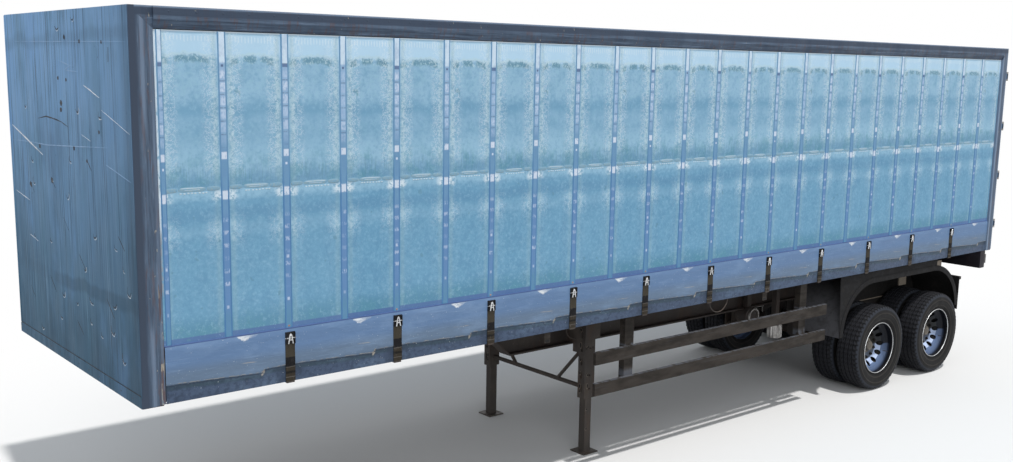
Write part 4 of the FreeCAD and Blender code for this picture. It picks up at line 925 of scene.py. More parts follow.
@dataclass(frozen=True)
class SkirtCloth:
    """Blue skirt above a torn crease, painted slate below it as shade where the straps pull it in and painted
    shade along its top edge, with chips and wiped dirt.
    """

    base: Colour = side_tone(99, 127, 164)
    warm: Colour = side_tone(101, 121, 145)
    light: Colour = side_tone(134, 160, 192)
    # slate and violet paint the skirt below the crease as shade, where the straps pull it in.
    slate: Colour = side_tone(54, 72, 86)
    violet: Colour = side_tone(68, 83, 107)
    # dark is dirt in specks, and painted shade under the crease and beside the straps.
    dark: Colour = side_tone(44, 56, 74)
    # fold is painted shade over the skirt's top edge and its ledge, where the edge would catch light.
    fold: Colour = side_tone(66, 88, 136)
    tan: Colour = side_tone(176, 168, 156)
    chip: Colour = side_tone(216, 220, 224)

    def material(self) -> bpy.types.Material:
        """Builds the skirt's finish.

        Returns:
            The material.
        """
        g = Graph("skirt_cloth")
        module = PITCH * 2
        places = (POST_BACK - g.x) * (1 / module)
        across = places.fract()
        luck = g.chance(places.floor() + 0.19)
        rag = g.noise((26.0, 26.0, 40.0), 4.0)
        torn = g.noise((9.0, 9.0, 12.0), 5.0, 0.65)
        cloud = g.noise((3.5, 3.5, 9.0), 5.0, 0.6)
        g.colour = g.mix(g.z.ease(1.64, 1.54), self.base, self.warm)
        g.lay(self.light, cloud.ease(0.46, 0.74) * 0.35, g.noise((4.0, 4.0, 95.0), 3.0).ease(0.56, 0.7) * 0.3)
        fall = g.math("MINIMUM", across, CREASE_TURN) * (-CREASE_FALL / CREASE_TURN)
        jump = across.ease(0.755, 0.785, 0.0, CREASE_RISE)
        step = fall + jump + (torn - 0.5) * 0.012 + (rag - 0.5) * 0.012 + (BASE + CREASE)
        above = g.z - step
        # Painted shade: slate and violet below the crease, where the straps pull the skirt in; the warm clouds
        # and dark specks on it are tone and dirt.
        low = g.over(
            self.slate,
            (self.violet, above.ease(-0.024, -0.046)),
            (self.warm, cloud.ease(0.45, 0.7) * 0.45),
            (self.dark, g.specks((30.0, 30.0, 34.0), 0.45, 0.62, 5.0) * 0.5),
        )
        g.lay(low, above.ease(0.0, -0.006))
        # Painted shade: a dark line just under the crease.
        g.lay(self.dark, above.band(-0.01, -0.001, 0.003) * 0.6)
        g.lay(self.tan, above.band(0.001, 0.0065, 0.002) * rag.ease(0.42, 0.56) * 0.6)
        knot = across.band(0.752, 0.782, 0.006) * above.band(-0.024, 0.006, 0.006) * rag.ease(0.36, 0.52)
        g.lay(self.tan, knot * 0.75)
        dash = across.band(0.6, 0.74, 0.03) * (above + rag * 0.01).band(0.083, 0.088, 0.002)
        g.lay(self.tan, dash * torn.ease(0.4, 0.55) * 0.6)
        near = g.math("MINIMUM", across, 1.0 - across)
        # Painted shade beside the straps, below the crease.
        g.lay(self.dark, near.ease(0.16, 0.07) * above.ease(0.0, -0.02) * torn.ease(0.36, 0.5) * 0.6)
        where = across + luck * 0.04
        run = (where - 0.58) * (1 / 0.19)
        wing = g.math("MINIMUM", run * (1 / 0.35), (1.0 - run) * (1 / 0.65))
        brushed = (g.noise((90.0, 90.0, 30.0), 4.0) - 0.5) * 0.03
        reach = g.z + wing * 0.036 + brushed - 1.741
        spot = reach.ease(-0.004, 0.005) * g.z.ease(1.7445, 1.7385) * wing.ease(0.0, 0.2)
        thin = g.noise((26.0, 26.0, 95.0), 4.0, 0.7).ease(0.34, 0.6)
        fading = run.ease(0.35, 0.75, 1.0, 0.35)
        dots = g.specks((70.0, 70.0, 110.0), 0.71, 0.75, 2.0)
        g.lay(self.chip, spot * (thin * 0.7 + 0.28) * fading, dots * 0.6)
        # Painted shade over the top edge, where it would catch light.
        g.lay(self.fold, g.z.ease(1.741, 1.7455) * 0.85)
        rough = cloud.ease(0.3, 0.7, 0.45, 0.66)
        fold = above.ease(-0.004, 0.004)
        return g.finish(rough, relief=((fold, 0.003), (rag, 0.001), (cloud, 0.006)), shine=0.3)


@dataclass(frozen=True)
class StrapCloth:
    """Tensioning straps: olive under the buckle, a black length, then brown between pale lines."""

    black: Colour = side_tone(30, 30, 32)
    olive: Colour = side_tone(66, 62, 54)
    brown: Colour = side_tone(58, 53, 46)
    shade: Colour = side_tone(32, 31, 30)
    light: Colour = side_tone(104, 100, 96)

    def material(self) -> bpy.types.Material:
        """Builds the webbing.

        Returns:
            The material.
        """
        g = Graph("strap_cloth")
        rag = (g.noise(40.0, 3.0) - 0.5) * 0.008
        rise = g.z + rag - BASE
        g.colour = g.mix(rise.band(0.058, 0.074, 0.006), self.brown, self.shade)
        g.lay(self.black, rise.ease(0.099, 0.103))
        g.lay(self.olive, rise.ease(0.168, 0.172))
        g.lay(self.black, rise.ease(0.262, 0.267))
        g.lay(self.light, (rise.band(0.1, 0.105, 0.001) | rise.band(0.03, 0.035, 0.001)) * 0.8,
              g.specks((60.0, 60.0, 30.0), 0.55, 0.7, 4.0) * 0.2)
        weave = g.x.wave(0.004) * g.z.wave(0.003)
        return g.finish(0.8, relief=((weave, 0.0007),), shine=0.12)


@dataclass(frozen=True)
class TyreRubber:
    """Tyre rubber: brown dusty walls with painted highlights on their ring steps and a painted sheen round the
    shoulders, nearly black tread with grooves, sipes, shoulder cuts and the gap by the lip painted darker as
    shade.
    """

    tread: Colour = side_tone(36, 37, 42)
    # groove is the near-black of painted shade in the grooves, sipes, shoulder cuts and the gap by the lip; it
    # also mottles the walls.
    groove: Colour = side_tone(3, 3, 5)
    wall: Colour = side_tone(28, 28, 29)
    # dust is grit on the rubber, and also the painted highlight on the wall's ring steps.
    dust: Colour = side_tone(60, 56, 53)
    # The next colour is a painted sheen: a bluish highlight round the shoulders.
    sheen: Colour = side_tone(58, 63, 74)

    def material(self) -> bpy.types.Material:
        """Builds the rubber.

        Returns:
            The material.
        """
        g = Graph("tyre_rubber")
        reach = g.math("SQRT", g.x * g.x + g.z * g.z)
        cloud = g.noise(9.0, 5.0, 0.6)
        # Painted shade: the grooves go near black.
        groove = reach.ease(0.4735, 0.467)
        g.colour = g.mix(groove, self.tread, self.groove)
        turn = g.math("ARCTAN2", g.z, g.x) * (Wheel.pitches / (2 * math.pi))
        beat = (turn + g.y.wave(0.0255) * 0.45).fract()
        sipe = beat.band(0.05, 0.32, 0.04) * reach.ease(0.464, 0.467)
        # Painted shade in the zigzag sipes.
        g.lay(self.groove, sipe * 0.85)
        lug = turn.fract().band(0.05, 0.42, 0.05) * reach.band(0.449, 0.469, 0.003)
        wall = reach.ease(0.462, 0.455)
        g.lay(g.mix(cloud.ease(0.3, 0.65), self.groove, self.wall), wall)
        g.lay(self.wall, wall * 0.55)
        # Painted sheen round the shoulders.
        g.lay(self.sheen, reach.band(0.432, 0.465, 0.006) * 0.5)
        # Painted shade in the shoulder cuts.
        g.lay(self.groove, lug * 0.8)
        rings = reach.band(0.39, 0.402, 0.004) | reach.band(0.329, 0.339, 0.004)
        # Painted highlight on the wall's ring steps.
        g.lay(self.dust, rings * 0.5)
        # Painted shade in the gap between the wall and the rim's lip.
        g.lay(self.groove, reach.band(0.296, 0.316, 0.005) * 0.85)
        grit = g.specks(60.0, 0.6, 0.7, 4.0)
        g.lay(self.dust, grit * 0.22 * (1.0 - groove))
        rough = cloud.ease(0.3, 0.7, 0.6, 0.8)
        fine = g.noise(260.0, 2.0)
        return g.finish(rough, relief=((fine, 0.0006), (rings, 0.002), (sipe, -0.003)), shine=0.2)


@dataclass(frozen=True)
class RimPaint:
    """Pressed steel wheel: pale disc, blue barrel that darkens outward as painted shade, grime and painted
    shade over the upper half, hand holes painted black as shade.
    """

    # disc is the disc's pale tone as lit; shade is painted shade, deepening the barrel outward and laid with
    # grime over the upper half.
    disc: Colour = srgb(186, 202, 232)
    barrel: Colour = srgb(92, 110, 142)
    shade: Colour = srgb(12, 13, 18)
    lip: Colour = srgb(196, 190, 176)
    # grime is dirt and painted shade over the disc's upper half, and also darkens the disc toward the hub.
    grime: Colour = srgb(34, 33, 28)
    # hole is painted shade: near black on what shows through the hand holes.
    hole: Colour = srgb(2, 2, 5)

    def material(self) -> bpy.types.Material:
        """Builds the wheel's finish.

        Returns:
            The material.
        """
        g = Graph("rim_paint")
        up = g.z - HUB_HEIGHT
        reach = []
        for axle in AXLES:
            along = g.x - axle
            reach.append(g.math("SQRT", along * along + up * up))
        radius = g.math("MINIMUM", *reach)
        side = abs(g.y)
        cloud = g.noise(13.0, 5.0, 0.6)
        face = ((radius - 0.174) * 0.935 | -0.006) + (DUAL_REACH + 0.126)
        # Painted shade: what lies behind the outer disc's face, seen through the hand holes, goes near black.
        hole_shade_mask = (side - face).ease(-0.007, -0.009) * radius.ease(0.249, 0.248)
        wall = radius.ease(0.2498, 0.2508) | side.ease(DUAL_REACH + 0.164, DUAL_REACH + 0.166)
        # Painted shade: the barrel darkens toward its outer edge.
        barrel = g.mix(side.ease(1.118, 1.185), self.barrel, self.shade)
        g.colour = g.mix(wall, g.mix(cloud.ease(0.45, 0.7) * 0.3, self.disc, self.barrel), barrel)
        # Grime and painted shade over the upper half; they sit in the wheel's own frame and turn with it.
        half = (up + (cloud - 0.5) * 0.02).ease(-0.012, 0.006)
        g.lay(g.mix(wall, self.grime, self.shade), half * 0.97)
        # Darker toward the hub.
        g.lay(self.grime, radius.ease(0.17, 0.16) * 0.8)
        g.lay(self.hole, hole_shade_mask)
        rim = radius.ease(0.2885, 0.2905)
        g.lay(self.lip, rim)
        rough = rim * -0.1 + cloud * 0.2 + 0.36
        return g.finish(rough, relief=((g.noise(90.0, 3.0), 0.0004),), shine=0.2)


@dataclass(frozen=True)
class MudguardPlastic:
    """Black-brown plastic of the mudguards, whose forward outer face is painted paler as painted light, with
    dried mud.
    """

    base: Colour = srgb(26, 25, 25)
    outer: Colour = srgb(24, 24, 26)
    mud: Colour = srgb(54, 52, 50)
    # front is painted light: a paler tone on the forward outer face, which lies in shade.
    front: Colour = srgb(88, 88, 92)

    def material(self) -> bpy.types.Material:
        """Builds the plastic.

        Returns:
            The material.
        """
        g = Graph("mudguard_plastic")
        along = g.x - RunningGear.arch_middle[0]
        up = g.z - RunningGear.arch_middle[1]
        reach = g.math("SQRT", along * along + up * up)
        side = abs(g.y)
        cloud = g.noise(14.0, 5.0, 0.65)
        # Painted light: the forward outer face of each arch takes the paler front tone.
        outside = reach.ease(0.593, 0.5985) * along.ease(0.02, 0.2) * side.ease(1.196, 1.19)
        g.colour = g.mix(side.ease(1.185, 1.195), self.base, self.outer)
        g.lay(self.front, outside * 0.95)
        g.lay(self.mud, cloud.ease(0.48, 0.68) * 0.4, g.specks(60.0, 0.6, 0.68, 3.0) * 0.35)
        return g.finish(cloud.ease(0.3, 0.7, 0.6, 0.85), relief=((cloud, 0.0008),), shine=0.15)


@dataclass(frozen=True)
class LampGlass:
    """Rear lamp: black housing with red, amber and white lenses."""

    housing: Colour = srgb(34, 32, 34)
    red: Colour = srgb(150, 22, 18)
    amber: Colour = srgb(206, 120, 30)

    def material(self) -> bpy.types.Material:
        """Builds the lamp's finish.

        Returns:
            The material.
        """
        g = Graph("lamp_glass")
        lens = g.x.ease(-5.2465, -5.2475)
        side = abs(g.y)
        amber = side.ease(1.1, 1.115) * lens
        g.colour = g.mix(lens, self.housing, self.red)
        g.lay(self.amber, amber)
        flutes = g.y.wave(0.008) * g.z.wave(0.008)
        rough = lens * -0.34 + 0.46
        return g.finish(rough, relief=((flutes * lens, 0.001),), Coat_Weight=0.4, Coat_Roughness=0.08)


@dataclass(frozen=True)
class DeckBoards:
    """Film-faced deck boards with joints and scuffs."""

    base: Colour = srgb(112, 84, 58)
    dark: Colour = srgb(48, 36, 28)
    pale: Colour = srgb(158, 132, 100)

    def material(self) -> bpy.types.Material:
        """Builds the boards.

        Returns:
            The material.
        """
        g = Graph("deck_boards")
        grain = g.noise((3.0, 60.0, 60.0), 5.0, 0.65)
        board = ((g.y + 1.2) * (1 / 0.3)).fract()
        tone = g.chance(((g.y + 1.2) * (1 / 0.3)).floor())
        g.colour = g.mix(grain.ease(0.3, 0.7), self.base, self.dark)
        g.lay(self.pale, tone * 0.35, g.specks((6.0, 14.0, 14.0), 0.6, 0.72, 5.0) * 0.5)
        joint = board.band(-0.01, 0.015, 0.004)
        g.lay(self.dark, joint)
        return g.finish(0.58, relief=((grain, 0.0006), (joint, -0.002)))


@dataclass(frozen=True)
class RoofSheet:
    """Pale coated roof sheet, drawn over its bows."""

    base: Colour = srgb(166, 174, 181)
    dirt: Colour = srgb(108, 112, 111)

    def material(self) -> bpy.types.Material:
        """Builds the sheet's finish.

        Returns:
            The material.
        """
        g = Graph("roof_sheet")
        cloud = g.noise(1.2, 6.0, 0.65)
        pool = g.specks(2.6, 0.5, 0.72, 6.0)
        g.colour = g.mix((cloud.ease(0.45, 0.75) | pool) * 0.5, self.base, self.dirt)
        fold = g.x.wave(PITCH)
        weave = g.x.wave(0.003) * g.y.wave(0.003)
        return g.finish(0.82, relief=((fold, 0.004), (weave, 0.0002)), shine=0.3)


@dataclass(frozen=True)
class GuardPaint:
    """Brown-grey side guards with a pale ticked upper edge."""

    outer: Colour = side_tone(56, 51, 47)
    edge: Colour = side_tone(88, 91, 98)
    dirt: Colour = side_tone(31, 29, 27)

    def material(self) -> bpy.types.Material:
        """Builds the guards' finish.

        Returns:
            The material.
        """
        g = Graph("guard_paint")
        cloud = g.noise((4.0, 9.0, 14.0), 5.0, 0.6)
        g.colour = g.mix(cloud.ease(0.38, 0.7) * 0.7, self.outer, self.dirt)
        crest = g.z.ease(1.093, 1.098) | g.z.ease(0.817, 0.822) * g.z.ease(0.9, 0.85)
        crest = crest * g.z.ease(1.12, 1.103)
        tick = g.noise((48.0, 4.0, 4.0), 2.0).ease(0.42, 0.5)
        g.lay(self.edge, crest * tick * 0.85, g.noise((3.0, 3.0, 160.0), 3.0).ease(0.62, 0.72) * 0.35)
        rough = cloud.ease(0.3, 0.7, 0.5, 0.75)
        return g.finish(rough, relief=((g.noise(70.0, 3.0), 0.0006),), shine=0.15)


def worn(name: str, base: Colour, light: Colour, rust: Colour, *rest: float) -> bpy.types.Material:
    """Weathered paint, whose colours are given as seen."""
    return WeatheredPaint(name, srgb(*base), srgb(*light), srgb(*rust), *rest).material()


def bare(name: str, colour: Colour, rough: float, dirt: Colour, *rest: float | Colour) -> bpy.types.Material:
    """Bare metal, whose colours are given as seen."""
    return BareMetal(name, srgb(*colour), rough, srgb(*dirt), *rest).material()


class Finishes:
    """Every finish of the trailer, each built once."""

    def __init__(self) -> None:
        """Builds them."""
        self.blue = BluePanel().material()
        self.corner = CornerSlate().material()
        self.curtain = CurtainCloth().material()
        self.webbing = WebbingCloth().material()
        self.skirt = SkirtCloth().material()
        self.strap = StrapCloth().material()
        self.tyre = TyreRubber().material()
        self.rim = RimPaint().material()
        self.lamp = LampGlass().material()
        self.deck = DeckBoards().material()
        self.roof = RoofSheet().material()
        self.guard = GuardPaint().material()
        self.chassis = worn("chassis_paint", (58, 53, 51), (86, 79, 73), (70, 52, 42), 0.3)
        self.leg = worn("leg_paint", (68, 63, 60), (100, 93, 87), (84, 66, 55), 0.35, 18.0)
        self.mudguard = MudguardPlastic().material()
        self.plastic = worn("guard_plastic", (28, 26, 26), (46, 42, 39), (40, 34, 29), 0.4, 20.0, 0.55, 0.8)
        self.rubber = worn("flap_rubber", (30, 29, 30), (54, 50, 47), (42, 38, 33), 0.35, 16.0, 0.6, 0.85)
        self.beam_slate = worn("slate_beam_paint", (36, 34, 40), (62, 60, 70), (60, 44, 38), 0.35)
        self.iron = worn("hub_iron", (118, 112, 104), (158, 150, 138), (88, 76, 64), 0.4, 26.0, 0.45, 0.7)
        self.alloy = bare("bare_alloy", (188, 190, 192), 0.36, (58, 50, 44), 0.3, (30.0, 30.0, 200.0))
        self.steel = bare("worn_steel", (170, 168, 166), 0.3, (58, 50, 44), 0.5, (40.0, 40.0, 400.0))
        self.bright = bare("bright_buckle_metal", (226, 228, 230), 0.35, (58, 50, 44), 0.3, (160.0,) * 3)
        self.black = worn("black_steel", (16, 16, 18), (40, 40, 42), (34, 30, 28), 0.3, 30.0, 0.4, 0.65)
        self.scratch = bare("bare_scratch", (232, 238, 244), 0.4, (140, 160, 180), 0.5, (80.0,) * 3, 0.2)
        self.rust = worn("rusty_rivets", (176, 134, 108), (196, 160, 136), (120, 82, 62), 0.4, 60.0)
        self.tan = worn("tan_stays", (128, 118, 106), (150, 140, 126), (96, 76, 62), 0.35, 20.0)
        self.gouge = bare("dark_gouge", (40, 48, 58), 0.6, (26, 30, 36), 0.5, (80.0,) * 3, 0.0)
        self.scrape = bare("pale_blue_scrape", (134, 170, 208), 0.45, (90, 124, 160), 0.5, (80.0,) * 3, 0.0)


@dataclass
class Curtain:
    """One side's curtain: cloth, webbings, seam welt and skirt."""

    side: Side
    finishes: Finishes
    cloth_face: float = 1.2255
    webbing_face: float = 1.2295
    webbing_half: float = 0.0278
    edge_inset: float = 0.034
    skirt_face: float = 1.2372
    seam_height: float = 2.72
    cloth_high: float = 3.688
    step: float = 0.03
    webbing_steps: int = 65
    skirt_steps: int = 440

    def wrinkle(self, x: float, z: float) -> float:
        """How far the cloth stands out at a place, between two webbings.

        Args:
            x: the place along the trailer.
            z: its height.

        Returns:
            The distance in metres.
        """
        across = ((POST_BACK - x) / PITCH) % 1.0
        swell = math.sin(math.pi * across) ** 0.7
        tall = min(1.0, (self.cloth_high - z) / 0.2, (z - SKIRT_TOP) / 0.15)
        seam = math.exp(-((z - self.seam_height) / 0.035) ** 2)
        seed = 11.0 * self.side.value
        folds = noise.noise(Vector((x * 3.2, seed, z * 2.1))) * 0.0042
        ripples = noise.noise(Vector((x * 13.0, seed + 5.0, z * 6.0))) * 0.0016
        near = min(across, 1.0 - across)
        pull = math.exp(-((near - 0.13) / 0.05) ** 2) * noise.noise(Vector((x * 6.0, seed, z * 16.0))) * 0.0022
        return max(0.0, tall) * (swell * (0.0035 + folds + ripples) * (1.0 - 0.7 * seam) + pull)

    def cloth(self) -> bpy.types.Object:
        """The curtain's cloth.

        Returns:
            The sheet.
        """
        m = Mesher()
        wide = round((POST_BACK - FRAME_FRONT) / self.step)
        tall = round((self.cloth_high - SKIRT_TOP) / self.step)
        rows = []
        for r in range(tall + 1):
            z = SKIRT_TOP + (self.cloth_high - SKIRT_TOP) * r / tall
            row = []
            for c in range(wide + 1):
                x = FRAME_FRONT + 0.002 + (POST_BACK - FRAME_FRONT - 0.004) * c / wide
                row.append((x, self.cloth_face + self.wrinkle(x, z), z))
            rows.append(row)
        m.grid([list(reversed(row)) for row in rows])
        return m.piece("curtain_cloth", self.finishes.curtain, "curtain_blue", side=self.side)

    def webbings(self) -> bpy.types.Object:
        """The upright webbings.

        Returns:
            All of them as one piece.
        """
        m = Mesher()
        for index in range(PANELS):
            middle = POST_BACK - (PITCH * index or self.edge_inset)
            rows = []
            for r in range(self.webbing_steps + 1):
                z = SKIRT_TOP + 0.002 + (self.cloth_high - SKIRT_TOP - 0.004) * r / self.webbing_steps
                lean = noise.noise(Vector((index * 3.7, 2.0, z * 2.4))) * 0.0022
                rise = noise.noise(Vector((index * 5.1, 9.0, z * 7.0))) * 0.0008
                half = (self.webbing_half * (1.0 if index else 0.63)
                        + noise.noise(Vector((index * 2.3, 4.0, z * 5.0))) * 0.001)
                row = []
                for share, out in ((-1.0, -0.004), (-0.96, 0.0), (-0.84, 0.0012), (-0.7, 0.0004), (0.0, 0.0014),
                                   (0.7, 0.0004), (0.84, 0.0012), (0.96, 0.0), (1.0, -0.004)):
                    row.append((middle + lean - half * share, self.webbing_face + out + rise, z))
                rows.append(row)
            m.grid(rows)
        return m.piece("curtain_webbings", self.finishes.webbing, "curtain_blue", side=self.side)

    def seam(self) -> bpy.types.Object:
        """The welt across the curtain: flat ovals, raised middles and a row of beads.

        Returns:
            The welt.
        """
        m = Mesher()
        rng = random.Random(31 + self.side.value)

        def lozenge(x: float, z: float, half: float, tall: float, thick: float) -> None:
            """Adds one rounded raised patch.

            Args:
                x: its middle along the trailer.
                z: its middle height.
                half: half its length.
                tall: half its height.
                thick: how far it stands out.
            """
            rows = []
            for out, size in ((-0.003, 1.0), (thick * 0.6, 0.97), (thick, 0.8), (thick * 1.08, 0.35)):
                row = []
                for c, s in circle(16):
                    along = half * size * math.copysign(abs(c) ** 0.6, c)
                    rise = tall * size * math.copysign(abs(s) ** 0.8, s)
                    row.append((x - along, self.cloth_face + 0.0015 + out, z + rise))
                rows.append(row)
            m.grid(rows, round_rows=True)
            m.cap(rows[-1])

        for index in range(PANELS):
            start = POST_BACK - PITCH * index
            for where, half, tall in ((0.178, 0.045, 0.014), (0.5, 0.094, 0.0155), (0.822, 0.045, 0.014)):
                height = self.seam_height + rng.uniform(-0.002, 0.002)
                lozenge(start - PITCH * where, height, half, tall, 0.0018)
            for k in range(8):
                x = start - PITCH * (0.33 + 0.055 * k) + rng.uniform(-0.003, 0.003)
                lozenge(x, self.seam_height - 0.0245 + rng.uniform(-0.0015, 0.0015), 0.0075, 0.0042, 0.0022)
        return m.piece("curtain_seam", SEAM.material(), "curtain_blue", side=self.side)

    @staticmethod
    def crease(across: float) -> float:
        """How high over the skirt's foot its crease runs, at a share of the way between two straps."""
        jump = min(1.0, max(0.0, (across - 0.755) / 0.03))
        return CREASE - CREASE_FALL * min(across, CREASE_TURN) / CREASE_TURN + CREASE_RISE * jump

    def skirt(self) -> bpy.types.Object:
        """The thicker skirt at the curtain's foot.

        Returns:
            The skirt's sheet.
        """
        m = Mesher()
        shares = [0.0, 0.1, 0.45, 0.85, 0.97, 1.02, 1.1, 1.3, 1.55, 1.8, 1.93, 1.98, 2.0]
        rows = []
        for share in shares:
            row = []
            for c in range(self.skirt_steps + 1):
                x = POST_BACK - 0.002 - (POST_BACK - FRAME_FRONT - 0.004) * c / self.skirt_steps
                crease = self.crease(((POST_BACK - x) / (PITCH * 2)) % 1.0)
                low = 0.001 + (crease - 0.001) * share
                high = crease + (SKIRT_TOP - BASE - crease) * (share - 1.0)
                z = BASE + (low if share < 1.0 else high)
                out = 0.0026 if share > 1.0 else 0.0
                out += noise.noise(Vector((x * 2.6, 3.0 * self.side.value, z * 5.0))) * 0.0016
                out -= 0.004 if share > 1.95 else 0.0
                row.append((x, self.skirt_face - 0.0014 + out, z))
            rows.append(row)
        m.grid(rows)
        return m.piece("curtain_skirt", self.finishes.skirt, "curtain_blue", side=self.side)

    def ledge(self) -> bpy.types.Object:
        """The folded edge that closes the skirt's top and foot towards the cloth.

        Returns:
            The two edge strips as one piece.
        """
        m = Mesher()
        for z, depth in ((SKIRT_TOP - 0.002, 0.006), (BASE + 0.001, 0.004)):
            m.block((FRAME_FRONT + 0.002, self.cloth_face - 0.004, z - depth / 2),
                    (POST_BACK - 0.002, self.skirt_face - 0.001, z + depth / 2), 0.002)
        return m.piece("skirt_edges", self.finishes.skirt, "curtain_blue", side=self.side)

    def rivets(self) -> bpy.types.Object:
        """Rust-brown rivets in the hem over each strap.

        Returns:
            The rivets.
        """
        m = Mesher()
        for index in range(1, PANELS // 2):
            spot = (POST_BACK - PITCH * 2 * index, self.webbing_face - 0.001, SKIRT_TOP + 0.014)
            m.turn(((0.0, 0.0072), (0.0026, 0.007), (0.004, 0.005), (0.0046, 0.0)), spot, Vector((0, 1, 0)), 12)
        return m.piece("skirt_rivets", self.finishes.rust, "curtain_blue", side=self.side)

    def build(self) -> None:
        """Makes the curtain's pieces and hides the model's curtain."""
        cloth = self.cloth()
        parts = [self.webbings(), self.seam()]
        skirt = self.skirt()
        edges = [self.ledge(), self.rivets()]
        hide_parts(f"curtain_{self.side.word}")
        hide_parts(f"curtain_{self.side.word}")


@dataclass(frozen=True)
class SeamCloth:
    """Grey-olive welt with painted pale highlights on its edges and painted white highlights on the tops of its
    ovals and beads.
    """

    olive: Colour = side_tone(142, 168, 180)
    blue: Colour = side_tone(118, 162, 190)
    # pale and white are painted highlights: pale on the welt's edges, white on the tops of its ovals and beads.
    pale: Colour = side_tone(160, 186, 198)
    white: Colour = side_tone(226, 238, 244)

    def material(self) -> bpy.types.Material:
        """Builds the welt's finish.

        Returns:
            The material.
        """
        g = Graph("seam_welt")
        across = ((POST_BACK - g.x) * (1 / PITCH)).fract()
        off = abs(across - 0.5)
        rise = g.z - Curtain.seam_height
        rag = g.noise(70.0, 4.0)
        g.colour = g.mix(rag.ease(0.35, 0.65), self.olive, self.blue)
        # Painted highlight: the welt's edges go pale.
        g.lay(self.pale, abs(rise).ease(0.009, 0.013) * 0.45)
        # Painted highlights: white lines on the tops of the long and short ovals and on the row of beads.
        long = rise.band(0.0062, 0.0092, 0.001) * off.ease(0.2, 0.14) * 0.7
        short = rise.band(-0.0045, -0.002, 0.001) * off.ease(0.13, 0.1) * 0.6
        bead = rise.ease(-0.018, -0.0195) * 0.5
        g.lay(self.white, long | short | bead)
        return g.finish(0.6, relief=((rag, 0.0005),), shine=0.2)


SEAM = SeamCloth()


@dataclass
class Straps:
    """One side's tensioning straps, with buckles and hooks."""

    side: Side
    finishes: Finishes
    half: float = 0.0355
    face: float = 1.2415
    count: int = 11
    length: float = 0.34
    steps: int = 29

    def middles(self) -> list[float]:
        """Where each strap's middle lies along the trailer."""
        return [POST_BACK - PITCH * 2 * (index + 1) for index in range(self.count)]

    def bands(self) -> None:
        """Makes the webbing of every strap."""
        m = Mesher()
        for number, middle in enumerate(self.middles()):
            rows = []
            for r in range(self.steps + 1):
                z = BASE + 0.004 + self.length * r / self.steps
                wave = noise.noise(Vector((number * 4.3, 1.0, z * 16.0))) * 0.0012
                lean = noise.noise(Vector((number * 2.9, 6.0, z * 4.0))) * 0.0016
                row = []
                for share, out in ((-1.0, -0.0035), (-1.0, 0.0012), (-0.9, 0.0026), (0.0, 0.0034),
                                   (0.9, 0.0026), (1.0, 0.0012), (1.0, -0.0035)):
                    row.append((middle + lean - self.half * share, self.face + out + wave, z))
                rows.append(row)
            m.grid(rows)
            m.cap(rows[-1])
        piece = m.piece("strap_bands", self.finishes.strap, "strap_webbing", side=self.side)
        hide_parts("buckle_straps")

    def buckles(self) -> None:
        """Makes the buckles: a black plate with a rim, and a bright lever with a hole in it."""
        plates, levers = Mesher(), Mesher()
        for middle in self.middles():
            foot = BASE + 0.262
            plates.block((middle - 0.035, self.face + 0.0005, foot),
                         (middle + 0.035, self.face + 0.0055, foot + 0.081), 0.0015)
            for way in (-1, 1):
                cheek = middle + way * 0.0328
                plates.block((cheek - 0.0022, self.face + 0.001, foot),
                             (cheek + 0.0022, self.face + 0.012, foot + 0.081), 0.001)
            self.lever(levers, middle, foot)
        plates.piece("buckle_plates", self.finishes.black, "strap_webbing", side=self.side)
        levers.piece("buckle_levers", self.finishes.bright, "strap_webbing", side=self.side)

    def lever(self, m: Mesher, middle: float, foot: float) -> None:
        """Adds one lever like a letter A, with the pin that it turns on.

        Args:
            m: where it is added.
            middle: its place along the trailer.
            foot: the height of its buckle's lower edge.
        """
        out = self.face + 0.0105
        legs = ((-0.017, 0.002), (-0.0125, 0.024), (-0.009, 0.046), (-0.0055, 0.062), (0.0, 0.068))
        path = [(middle + across, out, foot + up) for across, up in legs]
        path += [(middle - across, out, foot + up) for across, up in reversed(legs[:-1])]
        m.pipe(path, 0.0045)
        m.pipe([(middle - 0.011, out, foot + 0.027), (middle + 0.011, out, foot + 0.027)], 0.0036)
        m.block((middle - 0.0065, out - 0.003, foot + 0.055), (middle + 0.0065, out + 0.0035, foot + 0.07),
                0.003)
        m.pipe([(middle - 0.0395, out - 0.004, foot + 0.04), (middle + 0.0395, out - 0.004, foot + 0.04)],
               0.003)

    def hooks(self) -> None:
        """Makes the hook plates that grip the deck's edge plate."""
        m = Mesher()
        low = BASE - 0.0095
        for middle in self.middles():
            m.block((middle - 0.03, self.face - 0.002, low + 0.001),
                    (middle + 0.03, self.face + 0.0026, BASE + 0.03), 0.002)
            m.block((middle - 0.03, 1.2125, low), (middle + 0.03, self.face + 0.0026, low + 0.005), 0.002)
            m.block((middle - 0.026, 1.2125, low), (middle + 0.026, 1.216, BASE + 0.03), 0.0015)
        m.piece("strap_hooks", self.finishes.leg, "strap_webbing", side=self.side)

    def build(self) -> None:
        """Makes the straps' pieces."""
        self.bands()
        self.buckles()
        self.hooks()


